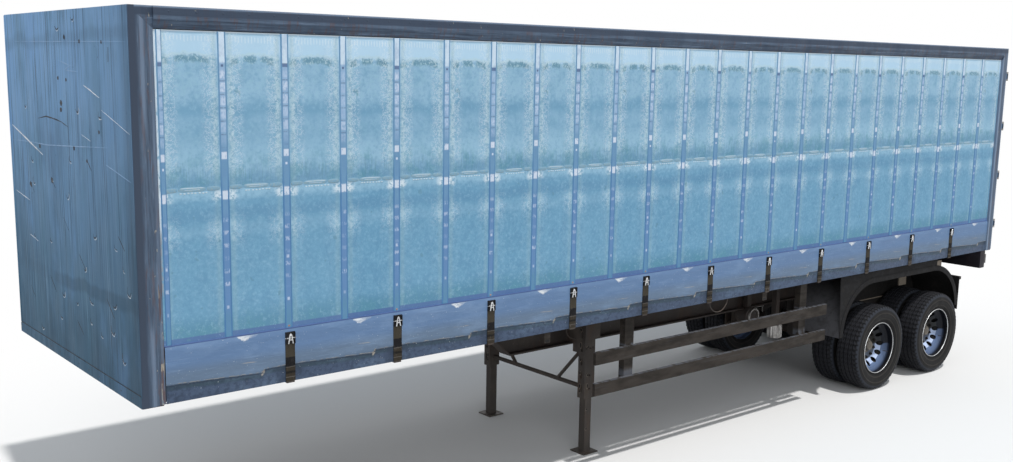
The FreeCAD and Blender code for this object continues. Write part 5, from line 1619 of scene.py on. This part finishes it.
@dataclass
class Wheel:
    """A pair of twin tyres with their lips, nuts and valve."""

    axle: str
    side: Side
    finishes: Finishes
    centre: float
    spacing: float = 0.32
    radius: float = 0.4785
    half_tread: float = 0.12
    groove_depth: float = 0.013
    nut_circle: float = 0.1375
    lip_radius: float = 0.2835
    hand_holes: int = 12
    hole_circle: float = 0.205
    pitches: int = 56

    def section(self) -> list[tuple[float, float, float]]:
        """The tyre's section from one bead over the tread to the other.

        Returns:
            (across, radius, how much the cross cuts take here) for each point.
        """
        points: list[tuple[float, float, float]] = []
        wall = [(-0.105, 0.286), (-0.113, 0.2855), (-0.1145, 0.292), (-0.1125, 0.304), (-0.1155, 0.312),
                (-0.1225, 0.322), (-0.131, 0.345), (-0.1345, 0.37), (-0.1352, 0.392), (-0.1362, 0.397),
                (-0.1352, 0.402), (-0.134, 0.425), (-0.1305, 0.442), (-0.1275, 0.452)]
        points.extend((across, radius, 0.0) for across, radius in wall)
        points.append((-0.1235, 0.461, 0.5))
        points.append((-self.half_tread + 0.001, 0.4698, 1.0))
        points.append((-0.112, 0.4728, 1.0))
        for groove in (-0.076, -0.027, 0.027, 0.076):
            top = self.crown(groove)
            for shift, drop in ((-0.0062, 0.0), (-0.0042, self.groove_depth),
                                (0.0042, self.groove_depth), (0.0062, 0.0)):
                cuts = 0.55 if drop == 0.0 else 0.0
                points.append((groove + shift, top - drop, cuts))
            if groove < 0.07:
                middle = groove + 0.0255
                points.append((middle, self.crown(middle), 0.55))
        points.append((0.112, 0.4728, 1.0))
        points.append((self.half_tread - 0.001, 0.4698, 1.0))
        points.append((0.1235, 0.461, 0.5))
        points.extend((-across, radius, 0.0) for across, radius in reversed(wall))
        return points

    def crown(self, across: float) -> float:
        """The tread's radius at a place across it."""
        return self.radius - 0.0045 * (across / self.half_tread) ** 2

    def tyre_rows(self, shift: float) -> list[list[Point]]:
        """Rows of points of one tyre, about the wheel's own centre.

        Args:
            shift: the tyre's middle along the axle.

        Returns:
            One row per step round the tyre.
        """
        section = self.section()
        rows = []
        for step in range(self.pitches * 4):
            phase = step % 4
            turn = 2 * math.pi * (step // 4 + (0.0, 0.2, 0.27, 0.93)[phase]) / self.pitches
            row = []
            for across, radius, cuts in section:
                skew = 0.012 * math.sin(across * 70.0) if cuts else 0.0
                depth = 0.0075 * cuts if phase in (0, 3) else 0.0
                size = radius - depth
                angle = turn + skew
                row.append((math.cos(angle) * size, shift + across, math.sin(angle) * size))
            rows.append(row)
        return rows

    def tyres(self) -> None:
        """Makes the twin tyres; all four pairs share one mesh."""
        name = f"tread_{self.tag}"
        mesh = bpy.data.meshes.get("twin_tyres")
        if mesh is None:
            m = Mesher()
            for way in (-1, 1):
                m.grid([list(reversed(row)) for row in self.tyre_rows(way * self.spacing / 2)],
                       round_columns=True)
            made = m.piece(name, self.finishes.tyre, "tyre_rubber", self.body, sharp=30.0)
            made.data.name = "twin_tyres"
        else:
            made = placed(name, mesh)
            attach(made, self.body)
        made.location = (self.centre, self.side.value * DUAL_REACH, HUB_HEIGHT)
        made.rotation_euler = (0.0, 0.4 * self.centre, 0.0)
        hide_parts(f"tyres_{self.tag}")

    @property
    def tag(self) -> str:
        """The end of its pieces' names."""
        return f"{self.axle}_{self.side.word}"

    @property
    def body(self) -> str:
        """The body that the wheel turns with."""
        return f"wheel_{self.tag}"

    @staticmethod
    def depth(radius: float) -> float:
        """How far the outer disc stands out from the duals' middle plane, at a radius.

        Args:
            radius: the distance from the axle.

        Returns:
            The distance in metres.
        """
        marks = ((0.07, 0.114), (0.166, 0.12), (0.174, 0.126), (0.235, 0.183), (0.25, 0.19))
        for (r0, d0), (r1, d1) in zip(marks, marks[1:]):
            if radius <= r1:
                return d0 + (d1 - d0) * (radius - r0) / (r1 - r0)
        return marks[-1][1]

    def disc(self) -> None:
        """Makes the outer wheel's disc: a cone with twelve oval hand holes round a flat middle."""
        m = Mesher()
        sector = math.pi / self.hand_holes

        def place(radius: float, turn: float, sink: float = 0.0) -> Point:
            """One point of the disc.

            Args:
                radius: its distance from the axle.
                turn: its direction.
                sink: how far it lies behind the face.

            Returns:
                The point.
            """
            return (self.centre + math.cos(turn) * radius, DUAL_REACH + self.depth(radius) - sink,
                    HUB_HEIGHT + math.sin(turn) * radius)

        sides = [(1.0, -1.0 + k / 3) for k in range(6)] + [(1.0 - k / 3, 1.0) for k in range(6)]
        sides += [(-a, -b) for a, b in sides]
        for hole in range(self.hand_holes):
            rows = []
            for share, sink in ((0.0, 0.012), (0.0, 0.001), (0.08, 0.0), (0.5, 0.0), (1.0, 0.0)):
                row = []
                for a, b in sides:
                    length = math.hypot(a, b)
                    rise = 0.03 * a / length * (1 - share) + 0.045 * a * share
                    spread = 0.0275 / self.hole_circle * b / length * (1 - share) + sector * b * share
                    row.append(place(self.hole_circle + rise, hole * 2 * sector + spread, sink))
                rows.append(row)
            m.grid(rows, round_rows=True)
        rings = []
        for radius, sink in ((0.16, 0.0), (0.15, 0.0), (0.1, 0.0), (0.062, 0.0), (0.058, 0.006), (0.058, 0.06)):
            rings.append([place(radius, (k - 3) * sector / 3, sink) for k in range(72)])
        m.grid(rings, round_rows=True)
        m.piece(f"wheel_disc_{self.axle}", self.finishes.rim, "rim_steel", self.body, side=self.side)

    def fittings(self) -> None:
        """Makes the bright lips, the nuts and the valve stem."""
        sign = self.side.value
        out = Vector((0, sign, 0))
        middle = (self.centre, sign * DUAL_REACH, HUB_HEIGHT)
        face = sign * (DUAL_REACH + self.depth(self.nut_circle))
        m = Mesher()
        for c, s in circle(10, 0.5):
            spot = (self.centre + c * self.nut_circle, face, HUB_HEIGHT + s * self.nut_circle)
            m.turn(((0.0, 0.0185), (0.003, 0.0185), (0.0035, 0.0155), (0.016, 0.0155), (0.018, 0.013),
                    (0.0182, 0.0095), (0.025, 0.009), (0.026, 0.0)), spot, out, 6)
        m.piece(f"wheel_nuts_{self.tag}", self.finishes.plastic, "hub_iron", self.body,
                sharp=25.0)
        ring = Mesher()
        lip = sign * (DUAL_REACH + self.spacing / 2 + 0.1135)
        rows = []
        for c, s in circle(96):
            sizes = [(self.lip_radius + 0.0036 * a, lip + sign * 0.004 * b) for a, b in circle(10)]
            rows.append([(self.centre + c * size, across, HUB_HEIGHT + s * size) for size, across in sizes])
        ring.grid(rows, round_rows=True, round_columns=True)
        ring.piece(f"rim_lip_{self.tag}", self.finishes.bright, "rim_steel", self.body)
        stem = Mesher()
        turn = math.radians(200)
        start = Vector((math.cos(turn) * 0.246, sign * 0.178, math.sin(turn) * 0.246)) + Vector(middle)
        end = Vector((math.cos(turn) * 0.236, sign * 0.25, math.sin(turn) * 0.236)) + Vector(middle)
        stem.pipe([tuple(start.lerp(end, k / 5)) for k in range(6)], 0.004)
        stem.piece(f"valve_stem_{self.tag}", self.finishes.chassis, "rim_steel", self.body)

    def build(self) -> None:
        """Makes the wheel's pieces."""
        self.tyres()
        self.disc()
        self.fittings()


@dataclass
class FrontWallWear:
    """Scratches, gouges and dents of the front wall, at the places where they show."""

    finishes: Finishes
    face: float = 5.3494

    def stroke(self, m: Mesher, path: Sequence[tuple[float, float]], width: float, seed: int) -> None:
        """Adds one thin tapering mark.

        Args:
            m: where it is added.
            path: its (across, up) points.
            width: its widest width.
            seed: seeds its raggedness.
        """
        rng = random.Random(seed)
        spots: list[tuple[float, float]] = []
        for (y0, z0), (y1, z1) in zip(path, path[1:]):
            parts = max(2, int(math.hypot(y1 - y0, z1 - z0) / 0.04))
            spots.extend((y0 + (y1 - y0) * k / parts, z0 + (z1 - z0) * k / parts) for k in range(parts))
        spots.append(path[-1])
        rows = []
        last = len(spots) - 1
        for index, (y, z) in enumerate(spots):
            before = spots[max(0, index - 1)]
            after = spots[min(last, index + 1)]
            run = Vector((after[0] - before[0], after[1] - before[1])).normalized()
            taper = math.sin(math.pi * (index + 0.4) / (last + 0.8)) ** 0.5
            half = width / 2 * taper * rng.uniform(0.55, 1.1)
            jump = rng.uniform(-0.0015, 0.0015)
            edge = Vector((-run.y, run.x)) * half
            rows.append([(self.face - 0.0008, y + edge.x + jump, z + edge.y), (self.face + 0.0003, y + jump, z),
                         (self.face - 0.0008, y - edge.x + jump, z - edge.y)])
        m.grid(rows)

    def nicks(self, dark: Mesher, white: Mesher) -> None:
        """Adds short curled gouges, each with a bright lower lip.

        Args:
            dark: where the gouges go.
            white: where their bright lips go.
        """
        rng = random.Random(21)
        for y, z in NICKS:
            lean = rng.uniform(-1.1, 0.5)
            size = rng.uniform(0.02, 0.055)
            path = []
            for k in range(5):
                way = lean + rng.uniform(0.2, 0.5) * (k - 2)
                path.append((y + math.cos(way) * size * (k - 2) / 2, z + math.sin(way) * size * (k - 2) / 2))
            self.stroke(dark, path, rng.uniform(0.01, 0.018), rng.randrange(999))
            self.stroke(white, [(a + 0.006, b - 0.011) for a, b in path[1:]], 0.007, rng.randrange(999))

    def build(self) -> None:
        """Makes the marks as three pieces."""
        white, dark, pale = Mesher(), Mesher(), Mesher()
        for m, strokes, first in ((white, SCRATCHES, 0), (dark, GOUGES, 40), (pale, SCRAPES, 80)):
            for seed, (path, width) in enumerate(strokes, first):
                self.stroke(m, path, width, seed)
        self.nicks(dark, white)
        rng = random.Random(7)
        for y, z in CHIPS:
            size = rng.uniform(0.014, 0.026)
            dark.cap([(self.face, y + c * size * rng.uniform(0.8, 1.2), z + s * size * rng.uniform(0.6, 1.0))
                      for c, s in circle(10)])
        white.piece("wall_scratches", self.finishes.scratch, "blue_panel", smooth=False)
        dark.piece("wall_gouges", self.finishes.gouge, "blue_panel", smooth=False)
        pale.piece("wall_scrapes", self.finishes.scrape, "blue_panel", smooth=False)


@dataclass
class BodyTrim:
    """Rivets, edge strips and seals of the body."""

    finishes: Finishes
    wall_face: float = 5.3485
    side_face: float = 1.2492
    wall_half: float = 1.235
    rivet_step: float = 0.1733

    def edge_strips(self) -> None:
        """Bright strips down the front wall's side edges and a dark line over its foot rail."""
        m = Mesher()
        m.pair((self.wall_face, 1.236, BASE + 0.075), (5.3545, self.side_face, TOP - 0.004), 0.002)
        m.piece("wall_edge_strips", self.finishes.blue, "blue_panel")
        line = Mesher()
        line.block((self.wall_face, -self.wall_half, BASE + 0.0725), (5.3525, self.wall_half, BASE + 0.079),
                   0.0015)
        line.piece("wall_foot_line", self.finishes.gouge, "blue_panel")

    def rivet_rows(self) -> None:
        """Rivet heads along the top rails and the front wall's rail."""
        m = Mesher()
        head = ((0.0, 0.0075), (0.0012, 0.0072), (0.0022, 0.0052), (0.0028, 0.0))
        for side in Side:
            out = Vector((0, side.value, 0))
            for k in range(60):
                m.turn(head, (5.1 - k * self.rivet_step, side.value * self.side_face, 3.795), out, 8)
        for k in range(12):
            m.turn(head, (5.3542, -1.1 + 0.2 * k, BASE + 0.036), Vector((1, 0, 0)), 8)
        m.piece("body_rivets", self.finishes.corner, "slate_paint")

    def door_seals(self) -> None:
        """Rubber seals round the rear doors, on the doors' own edges."""
        for side in Side:
            m = Mesher()
            inner, outer = sorted(abs(corner[1]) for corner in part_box(f"door_{side.word}"))
            outer = min(outer, 1.164)
            x = -5.3105
            low, high = 1.538, 3.684
            for a, b in (((inner + 0.001, low), (inner + 0.014, high)),
                         ((outer - 0.014, low), (outer - 0.001, high)),
                         ((inner + 0.014, low), (outer - 0.014, low + 0.013)),
                         ((inner + 0.014, high - 0.013), (outer - 0.014, high))):
                m.block((x - 0.004, a[0], a[1]), (x + 0.002, b[0], b[1]), 0.002)
            m.piece("door_seal", self.finishes.rubber, "flap_rubber", f"rear_door_{side.word}", side=side)

    def build(self) -> None:
        """Makes the trim."""
        self.edge_strips()
        self.rivet_rows()
        self.door_seals()


@dataclass
class RunningGear:
    """Bolts, leg holes, loops, mudguard stays and air fittings under the body."""

    finishes: Finishes
    spring_line: float = 0.49
    leg_x: float = 1.025
    leg_face: float = 0.734
    arch_middle: Span = (-2.83, 0.695)
    arch_radius: float = 0.6
    can_middle: Span = (-1.705, 0.74)
    ring_start: Point = (-1.44, 0.64, 0.946)
    drum_start: Point = (-1.44, 0.49, 0.946)

    def spring_bolts(self) -> None:
        """U-bolts over the springs and round the axle beams."""
        m = Mesher()
        for axle in AXLES:
            for side in (-1, 1):
                for along in (-0.062, 0.062):
                    path = []
                    for k in range(13):
                        turn = math.pi * k / 12
                        path.append((axle + along, side * self.spring_line - math.cos(turn) * 0.048,
                                     HUB_HEIGHT - 0.03 - math.sin(turn) * 0.045))
                    top = HUB_HEIGHT + 0.2
                    ends = [(axle + along, side * self.spring_line + half, top) for half in (-0.048, 0.048)]
                    m.pipe([ends[0], *path, ends[1]], 0.008)
                m.block((axle - 0.08, side * self.spring_line - 0.06, HUB_HEIGHT + 0.165),
                        (axle + 0.08, side * self.spring_line + 0.06, HUB_HEIGHT + 0.183), 0.006)
        m.piece("spring_bolts", self.finishes.steel, "dark_steel")

    def leg_holes(self) -> None:
        """Dark holes in the landing legs' front and outer faces, painted black as shade, each with a rim
        painted as a highlight.
        """
        dark, rims = Mesher(), Mesher()
        front = [(1.0875, 0.675, z, tall) for z, tall in ((1.158, 1.5), (1.015, 2.6), (0.88, 1.4), (0.755, 1.6),
                                                          (0.632, 2.0), (0.581, 1.2))]
        outer = [(1.055, 0.734, 1.005, 1.3), (1.05, 0.734, 0.742, 1.2), (1.05, 0.734, 0.64, 2.2),
                 (1.045, 0.728, 0.415, 1.1), (1.045, 0.728, 0.229, 1.1)]
        for side in Side:
            for spots, forward in ((front, True), (outer, False)):
                for x, y, z, tall in spots:
                    for m, size, lift in ((rims, 0.0125, 0.0006), (dark, 0.0098, 0.0012)):
                        ring = []
                        low = 0.0015 if m is rims else 0.0
                        way = side.value if forward else -side.value
                        for c, s in circle(16):
                            across, up = c * size + low, s * way * size * tall - low
                            ring.append((x + lift, side.value * (y + across), z + up) if forward
                                        else (x + across, side.value * (y + lift), z + up))
                        m.cap(ring)
        # Dark discs are painted shade inside the holes; the rims set a little off each hole are painted
        # highlights.
        dark.piece("leg_holes", self.finishes.black, "leg_steel")
        rims.piece("leg_hole_rims", self.finishes.tan, "leg_steel")

    def plate_bolts(self) -> None:
        """Bolt heads on the landing gear's mounting plates."""
        m = Mesher()
        head = ((0.0, 0.014), (0.0006, 0.012), (0.008, 0.0118), (0.009, 0.0))
        for side in Side:
            for z in (0.99, 1.26):
                for along in (-0.04, 0.04):
                    spot = (self.leg_x + along, side.value * self.leg_face, z)
                    m.turn(head, spot, Vector((0, side.value, 0)), 6)
        m.piece("plate_bolts", self.finishes.leg, "leg_steel", sharp=25.0)

    def under_skirt(self) -> None:
        """Wire loops and eye hooks that hang below the skirt."""
        m = Mesher()
        for middle, half, drop, reach, hang in ((-0.157, 0.133, 0.125, 1.222, 1.39),
                                                (1.065, 0.135, 0.091, 0.6, 1.15)):
            for sign in (-1, 1):
                arc = [(middle + half * math.cos(math.pi * k / 16), sign * reach,
                        hang - drop * math.sin(math.pi * k / 16)) for k in range(17)]
                m.pipe([(arc[0][0], arc[0][1], 1.392), *arc, (arc[-1][0], arc[-1][1], 1.392)], 0.0042)
        m.piece("skirt_loops", self.finishes.leg, "dark_steel")
        plates, slots = Mesher(), Mesher()
        for along in (1.991, -0.858):
            plates.pair((along - 0.034, 1.216, 1.289), (along + 0.034, 1.224, 1.385), 0.003)
            slots.pair((along - 0.022, 1.222, 1.297), (along + 0.022, 1.2255, 1.315), 0.0015)
        plates.piece("eye_plates", self.finishes.guard, "dark_steel")
        slots.piece("eye_slots", self.finishes.black, "dark_steel")

    def stays(self) -> None:
        """Pale stays and dark splash plates of the mudguards, and their outer fascias."""
        pale, dark, fascia = Mesher(), Mesher(), Mesher()
        pale.pair((-4.263, 1.16, 1.271), (-4.15, 1.19, 1.344), 0.004)
        pale.pair((-4.02, 0.606, 0.84), (-3.45, 0.622, 0.876), 0.003)
        pale.pair((-4.08, 0.84, 1.02), (-3.93, 0.86, 1.262), 0.003)
        dark.pair((-3.98, 0.596, 0.62), (-3.24, 0.604, 0.87), 0.002)
        dark.pair((-4.34, 0.596, 0.74), (-3.98, 0.604, 0.95), 0.002)
        for sign in (-1, 1):
            x, z = self.arch_middle
            arch = [(x + self.arch_radius * math.cos(turn), z + self.arch_radius * math.sin(turn))
                    for turn in (math.pi / 2 * k / 16 for k in range(17))]
            outline = [(x, z) for x, z in arch] + [(-4.15, 1.295)]
            top = [(x, max(1.39, z)) for x, z in outline]
            top[0] = (-2.19, 1.39)
            rows = [[(x, sign * y, z) for x, z in row][::sign]
                    for row, y in ((outline, 1.197), (top, 1.197), (top, 1.191), (outline, 1.191))]
            fascia.grid(rows, round_columns=True)
            fascia.cap([row[0] for row in rows])
            fascia.cap([row[-1] for row in reversed(rows)])
        pale.piece("guard_stays", self.finishes.tan, "guard_plastic")
        dark.piece("splash_plates", self.finishes.plastic, "guard_plastic")
        fascia.piece("guard_fascias", self.finishes.mudguard, "guard_plastic")

    def air_gear(self) -> None:
        """A ribbed air filter and a valve between the side guards, hung from a bearer."""
        m, rods = Mesher(), Mesher()
        x, y = self.can_middle
        rows = []
        for z, size in ((0.695, 0.6), (0.698, 0.9), (0.71, 1.0), (0.83, 1.0), (0.842, 0.9), (0.845, 0.5)):
            ribs = [size * (0.078 if k % 4 < 2 else 0.069) for k in range(48)]
            rows.append([(x + c * rib, y + s * rib, z) for (c, s), rib in zip(circle(48), ribs)])
        m.closed(rows)
        m.turn(((0.0, 0.075), (0.016, 0.084), (0.03, 0.08), (0.03, 0.069), (0.012, 0.067), (0.0, 0.068)),
               self.ring_start, Vector((0, 1, 0)), 32)
        rods.turn(((0.0, 0.0), (0.0, 0.09), (0.14, 0.094), (0.152, 0.08), (0.16, 0.068), (0.164, 0.0)),
                  self.drum_start, Vector((0, 1, 0)), 32)
        rods.block((-1.735, 0.71, 0.84), (-1.675, 0.77, 1.4), 0.004)
        rods.block((-1.47, 0.54, 1.0), (-1.41, 0.6, 1.4), 0.004)
        m.piece("air_filter", self.finishes.steel, "dark_steel")
        rods.piece("air_hangers", self.finishes.chassis, "dark_steel")

    def build(self) -> None:
        """Makes the fittings."""
        self.under_skirt()
        self.stays()
        self.air_gear()
        self.spring_bolts()
        self.leg_holes()
        self.plate_bolts()


@dataclass
class Studio:
    """Camera, light and the plain pale ground."""

    camera_place: Point = (7.746, 7.633, 3.502)
    azimuth: float = 140.18
    elevation: float = 9.5
    roll: float = 1.01
    focal_pixels: float = 1086.165
    frame_width: float = 1013.0
    frame_height: float = 462.0
    centre_x: float = 510.23
    centre_y: float = 248.88

    def camera(self) -> None:
        """Sets the camera where the photograph was taken."""
        turn, lift, tilt = (math.radians(part) for part in (self.azimuth, self.elevation, self.roll))
        back = Vector((math.sin(turn) * math.cos(lift), -math.cos(turn) * math.cos(lift), math.sin(lift)))
        right = (-back).cross(Vector((0, 0, 1))).normalized()
        up = right.cross(-back)
        across = right * math.cos(tilt) + up * math.sin(tilt)
        rise = -right * math.sin(tilt) + up * math.cos(tilt)
        data = bpy.data.cameras.new("camera")
        data.sensor_width = 36.0
        data.lens = 36.0 * self.focal_pixels / self.frame_width
        data.shift_x = (self.frame_width / 2 - self.centre_x) / self.frame_width
        data.shift_y = (self.centre_y - self.frame_height / 2) / self.frame_width
        data.clip_end = 200.0
        made = placed("camera", data)
        matrix = Matrix((across, rise, back)).transposed().to_4x4()
        matrix.translation = Vector(self.camera_place)
        made.matrix_world = matrix
        bpy.context.scene.camera = made

    def lamp(self, name: str, energy: float, spread: float, lift: float, turn: float, colour: Colour) -> None:
        """Adds one distant lamp.

        Args:
            name: the lamp's name.
            energy: its strength.
            spread: its apparent size in degrees.
            lift: its height over the horizon in degrees.
            turn: its direction in degrees from +X towards +Y.
            colour: its colour.
        """
        data = bpy.data.lights.new(name, "SUN")
        data.energy = energy
        data.angle = math.radians(spread)
        data.color = colour
        made = placed(name, data)
        rise, way = math.radians(lift), math.radians(turn)
        source = Vector((math.cos(rise) * math.cos(way), math.cos(rise) * math.sin(way), math.sin(rise)))
        made.rotation_euler = source.to_track_quat("Z", "Y").to_euler()

    def seen(self, tree: bpy.types.NodeTree) -> Socket:
        """1 for rays from the camera and those that metal and glass send on.

        Args:
            tree: where it is added.

        Returns:
            The sum's result.
        """
        path = tree.nodes.new("ShaderNodeLightPath")
        total = path.outputs["Is Camera Ray"]
        for word in ("Is Glossy Ray", "Is Transmission Ray"):
            node = tree.nodes.new("ShaderNodeMath")
            node.operation = "MAXIMUM"
            tree.links.new(total, node.inputs[0])
            tree.links.new(path.outputs[word], node.inputs[1])
            total = node.outputs[0]
        return total

    def world(self) -> None:
        """A soft sky for the light, and a white one for what sees it."""
        world = bpy.data.worlds.new("studio")
        bpy.context.scene.world = world
        world.use_nodes = True
        tree = world.node_tree
        new, link = tree.nodes.new, tree.links.new
        tree.nodes.clear()
        soft = new("ShaderNodeBackground")
        soft.inputs[0].default_value = (0.9, 0.95, 1.0, 1.0)
        soft.inputs[1].default_value = 0.55
        white = new("ShaderNodeBackground")
        white.inputs[0].default_value = (1.0, 1.0, 1.0, 1.0)
        white.inputs[1].default_value = 1.0
        both = new("ShaderNodeMixShader")
        out = new("ShaderNodeOutputWorld")
        link(self.seen(tree), both.inputs[0])
        link(soft.outputs[0], both.inputs[1])
        link(white.outputs[0], both.inputs[2])
        link(both.outputs[0], out.inputs[0])

    def floor(self) -> None:
        """A pale floor that keeps the shadow and fades into the backdrop."""
        mesh = bpy.data.meshes.new("floor")
        size = 60.0
        mesh.from_pydata([(-size, -size, 0), (size, -size, 0), (size, size, 0), (-size, size, 0)], [],
                         [(0, 1, 2, 3)])
        made = placed("floor", mesh)
        g = Graph("pale_floor")
        g.feed(g.shader.inputs["Base Color"], g.mix(self.seen(g.tree), (0.25, 0.25, 0.25), (0.72, 0.72, 0.72)))
        g.shader.inputs["Roughness"].default_value = 0.95
        along = g.x * 0.55
        reach = g.math("SQRT", along * along + g.y * g.y)
        far = reach.ease(3.6, 6.5) * self.seen(g.tree)
        glow = g.new("ShaderNodeEmission")
        both = g.new("ShaderNodeMixShader")
        g.feed(both.inputs[0], far)
        g.link(g.shader.outputs[0], both.inputs[1])
        g.link(glow.outputs[0], both.inputs[2])
        g.link(both.outputs[0], g.output.inputs[0])
        mesh.materials.append(g.material)

    def build(self) -> None:
        """Sets up the studio."""
        bpy.context.scene.view_settings.view_transform = "Standard"
        self.camera()
        self.lamp("key", energy=2.6, spread=2.0, lift=70.0, turn=84.0, colour=(1.0, 0.98, 0.95))
        self.lamp("fill", energy=0.8, spread=40.0, lift=22.0, turn=55.0, colour=(0.96, 0.98, 1.0))
        self.world()
        self.floor()


def dress_nodes(f: Finishes) -> None:
    """Gives every construction node that stays its finish.

    Args:
        f: the finishes.
    """
    dress(["front_wall", "door_left", "door_right"], f.blue)
    dress(["front_posts", "top_rails", "rear_frame"], f.corner)
    dress(["roof_bows", "inner_pillars"], f.alloy)
    dress(["roof_panel"], f.roof)
    dress(["deck_floor"], f.deck)
    dress(["side_raves", "cross_bearers", "beam_webs", "beam_flanges", "coupler_plate", "leaf_springs",
           "suspension_hangers", "flap_bars", "air_tank", "axle_front", "axle_rear"], f.chassis)
    dress(["rear_beam"], f.beam_slate)
    dress(["hinge_pins", "lock_gear_left", "lock_gear_right"], f.steel)
    dress(["side_guards"], f.guard)
    dress(["landing_legs", "leg_bracing", "landing_crank"], f.leg)
    dress(["mudguards"], f.mudguard)
    dress(["mud_flaps"], f.rubber)
    dress(["rear_lamps"], f.lamp)
    for axle in ("front", "rear"):
        for side in Side:
            dress([f"rims_{axle}_{side.word}"], f.rim)
            dress([f"hub_{axle}_{side.word}"], f.iron)


def main() -> None:
    """Builds the studio and dresses the trailer, part by part."""
    logging.basicConfig(level=logging.INFO, format="%(name)s: %(message)s")
    Studio().build()
    finishes = Finishes()
    dress_nodes(finishes)
    parts: list[tuple[str, Callable[[], None]]] = []
    for side in Side:
        parts.append((f"curtain {side.word}", Curtain(side, finishes).build))
        parts.append((f"straps {side.word}", Straps(side, finishes).build))
        for axle, centre in zip(("front", "rear"), AXLES):
            parts.append((f"wheel {axle} {side.word}", Wheel(axle, side, finishes, centre).build))
    parts.append(("front wall wear", FrontWallWear(finishes).build))
    parts.append(("body trim", BodyTrim(finishes).build))
    parts.append(("running gear", RunningGear(finishes).build))
    for name, build in parts:
        build()
        log.info("%s is ready", name)


if __name__ == "__main__":
    main()
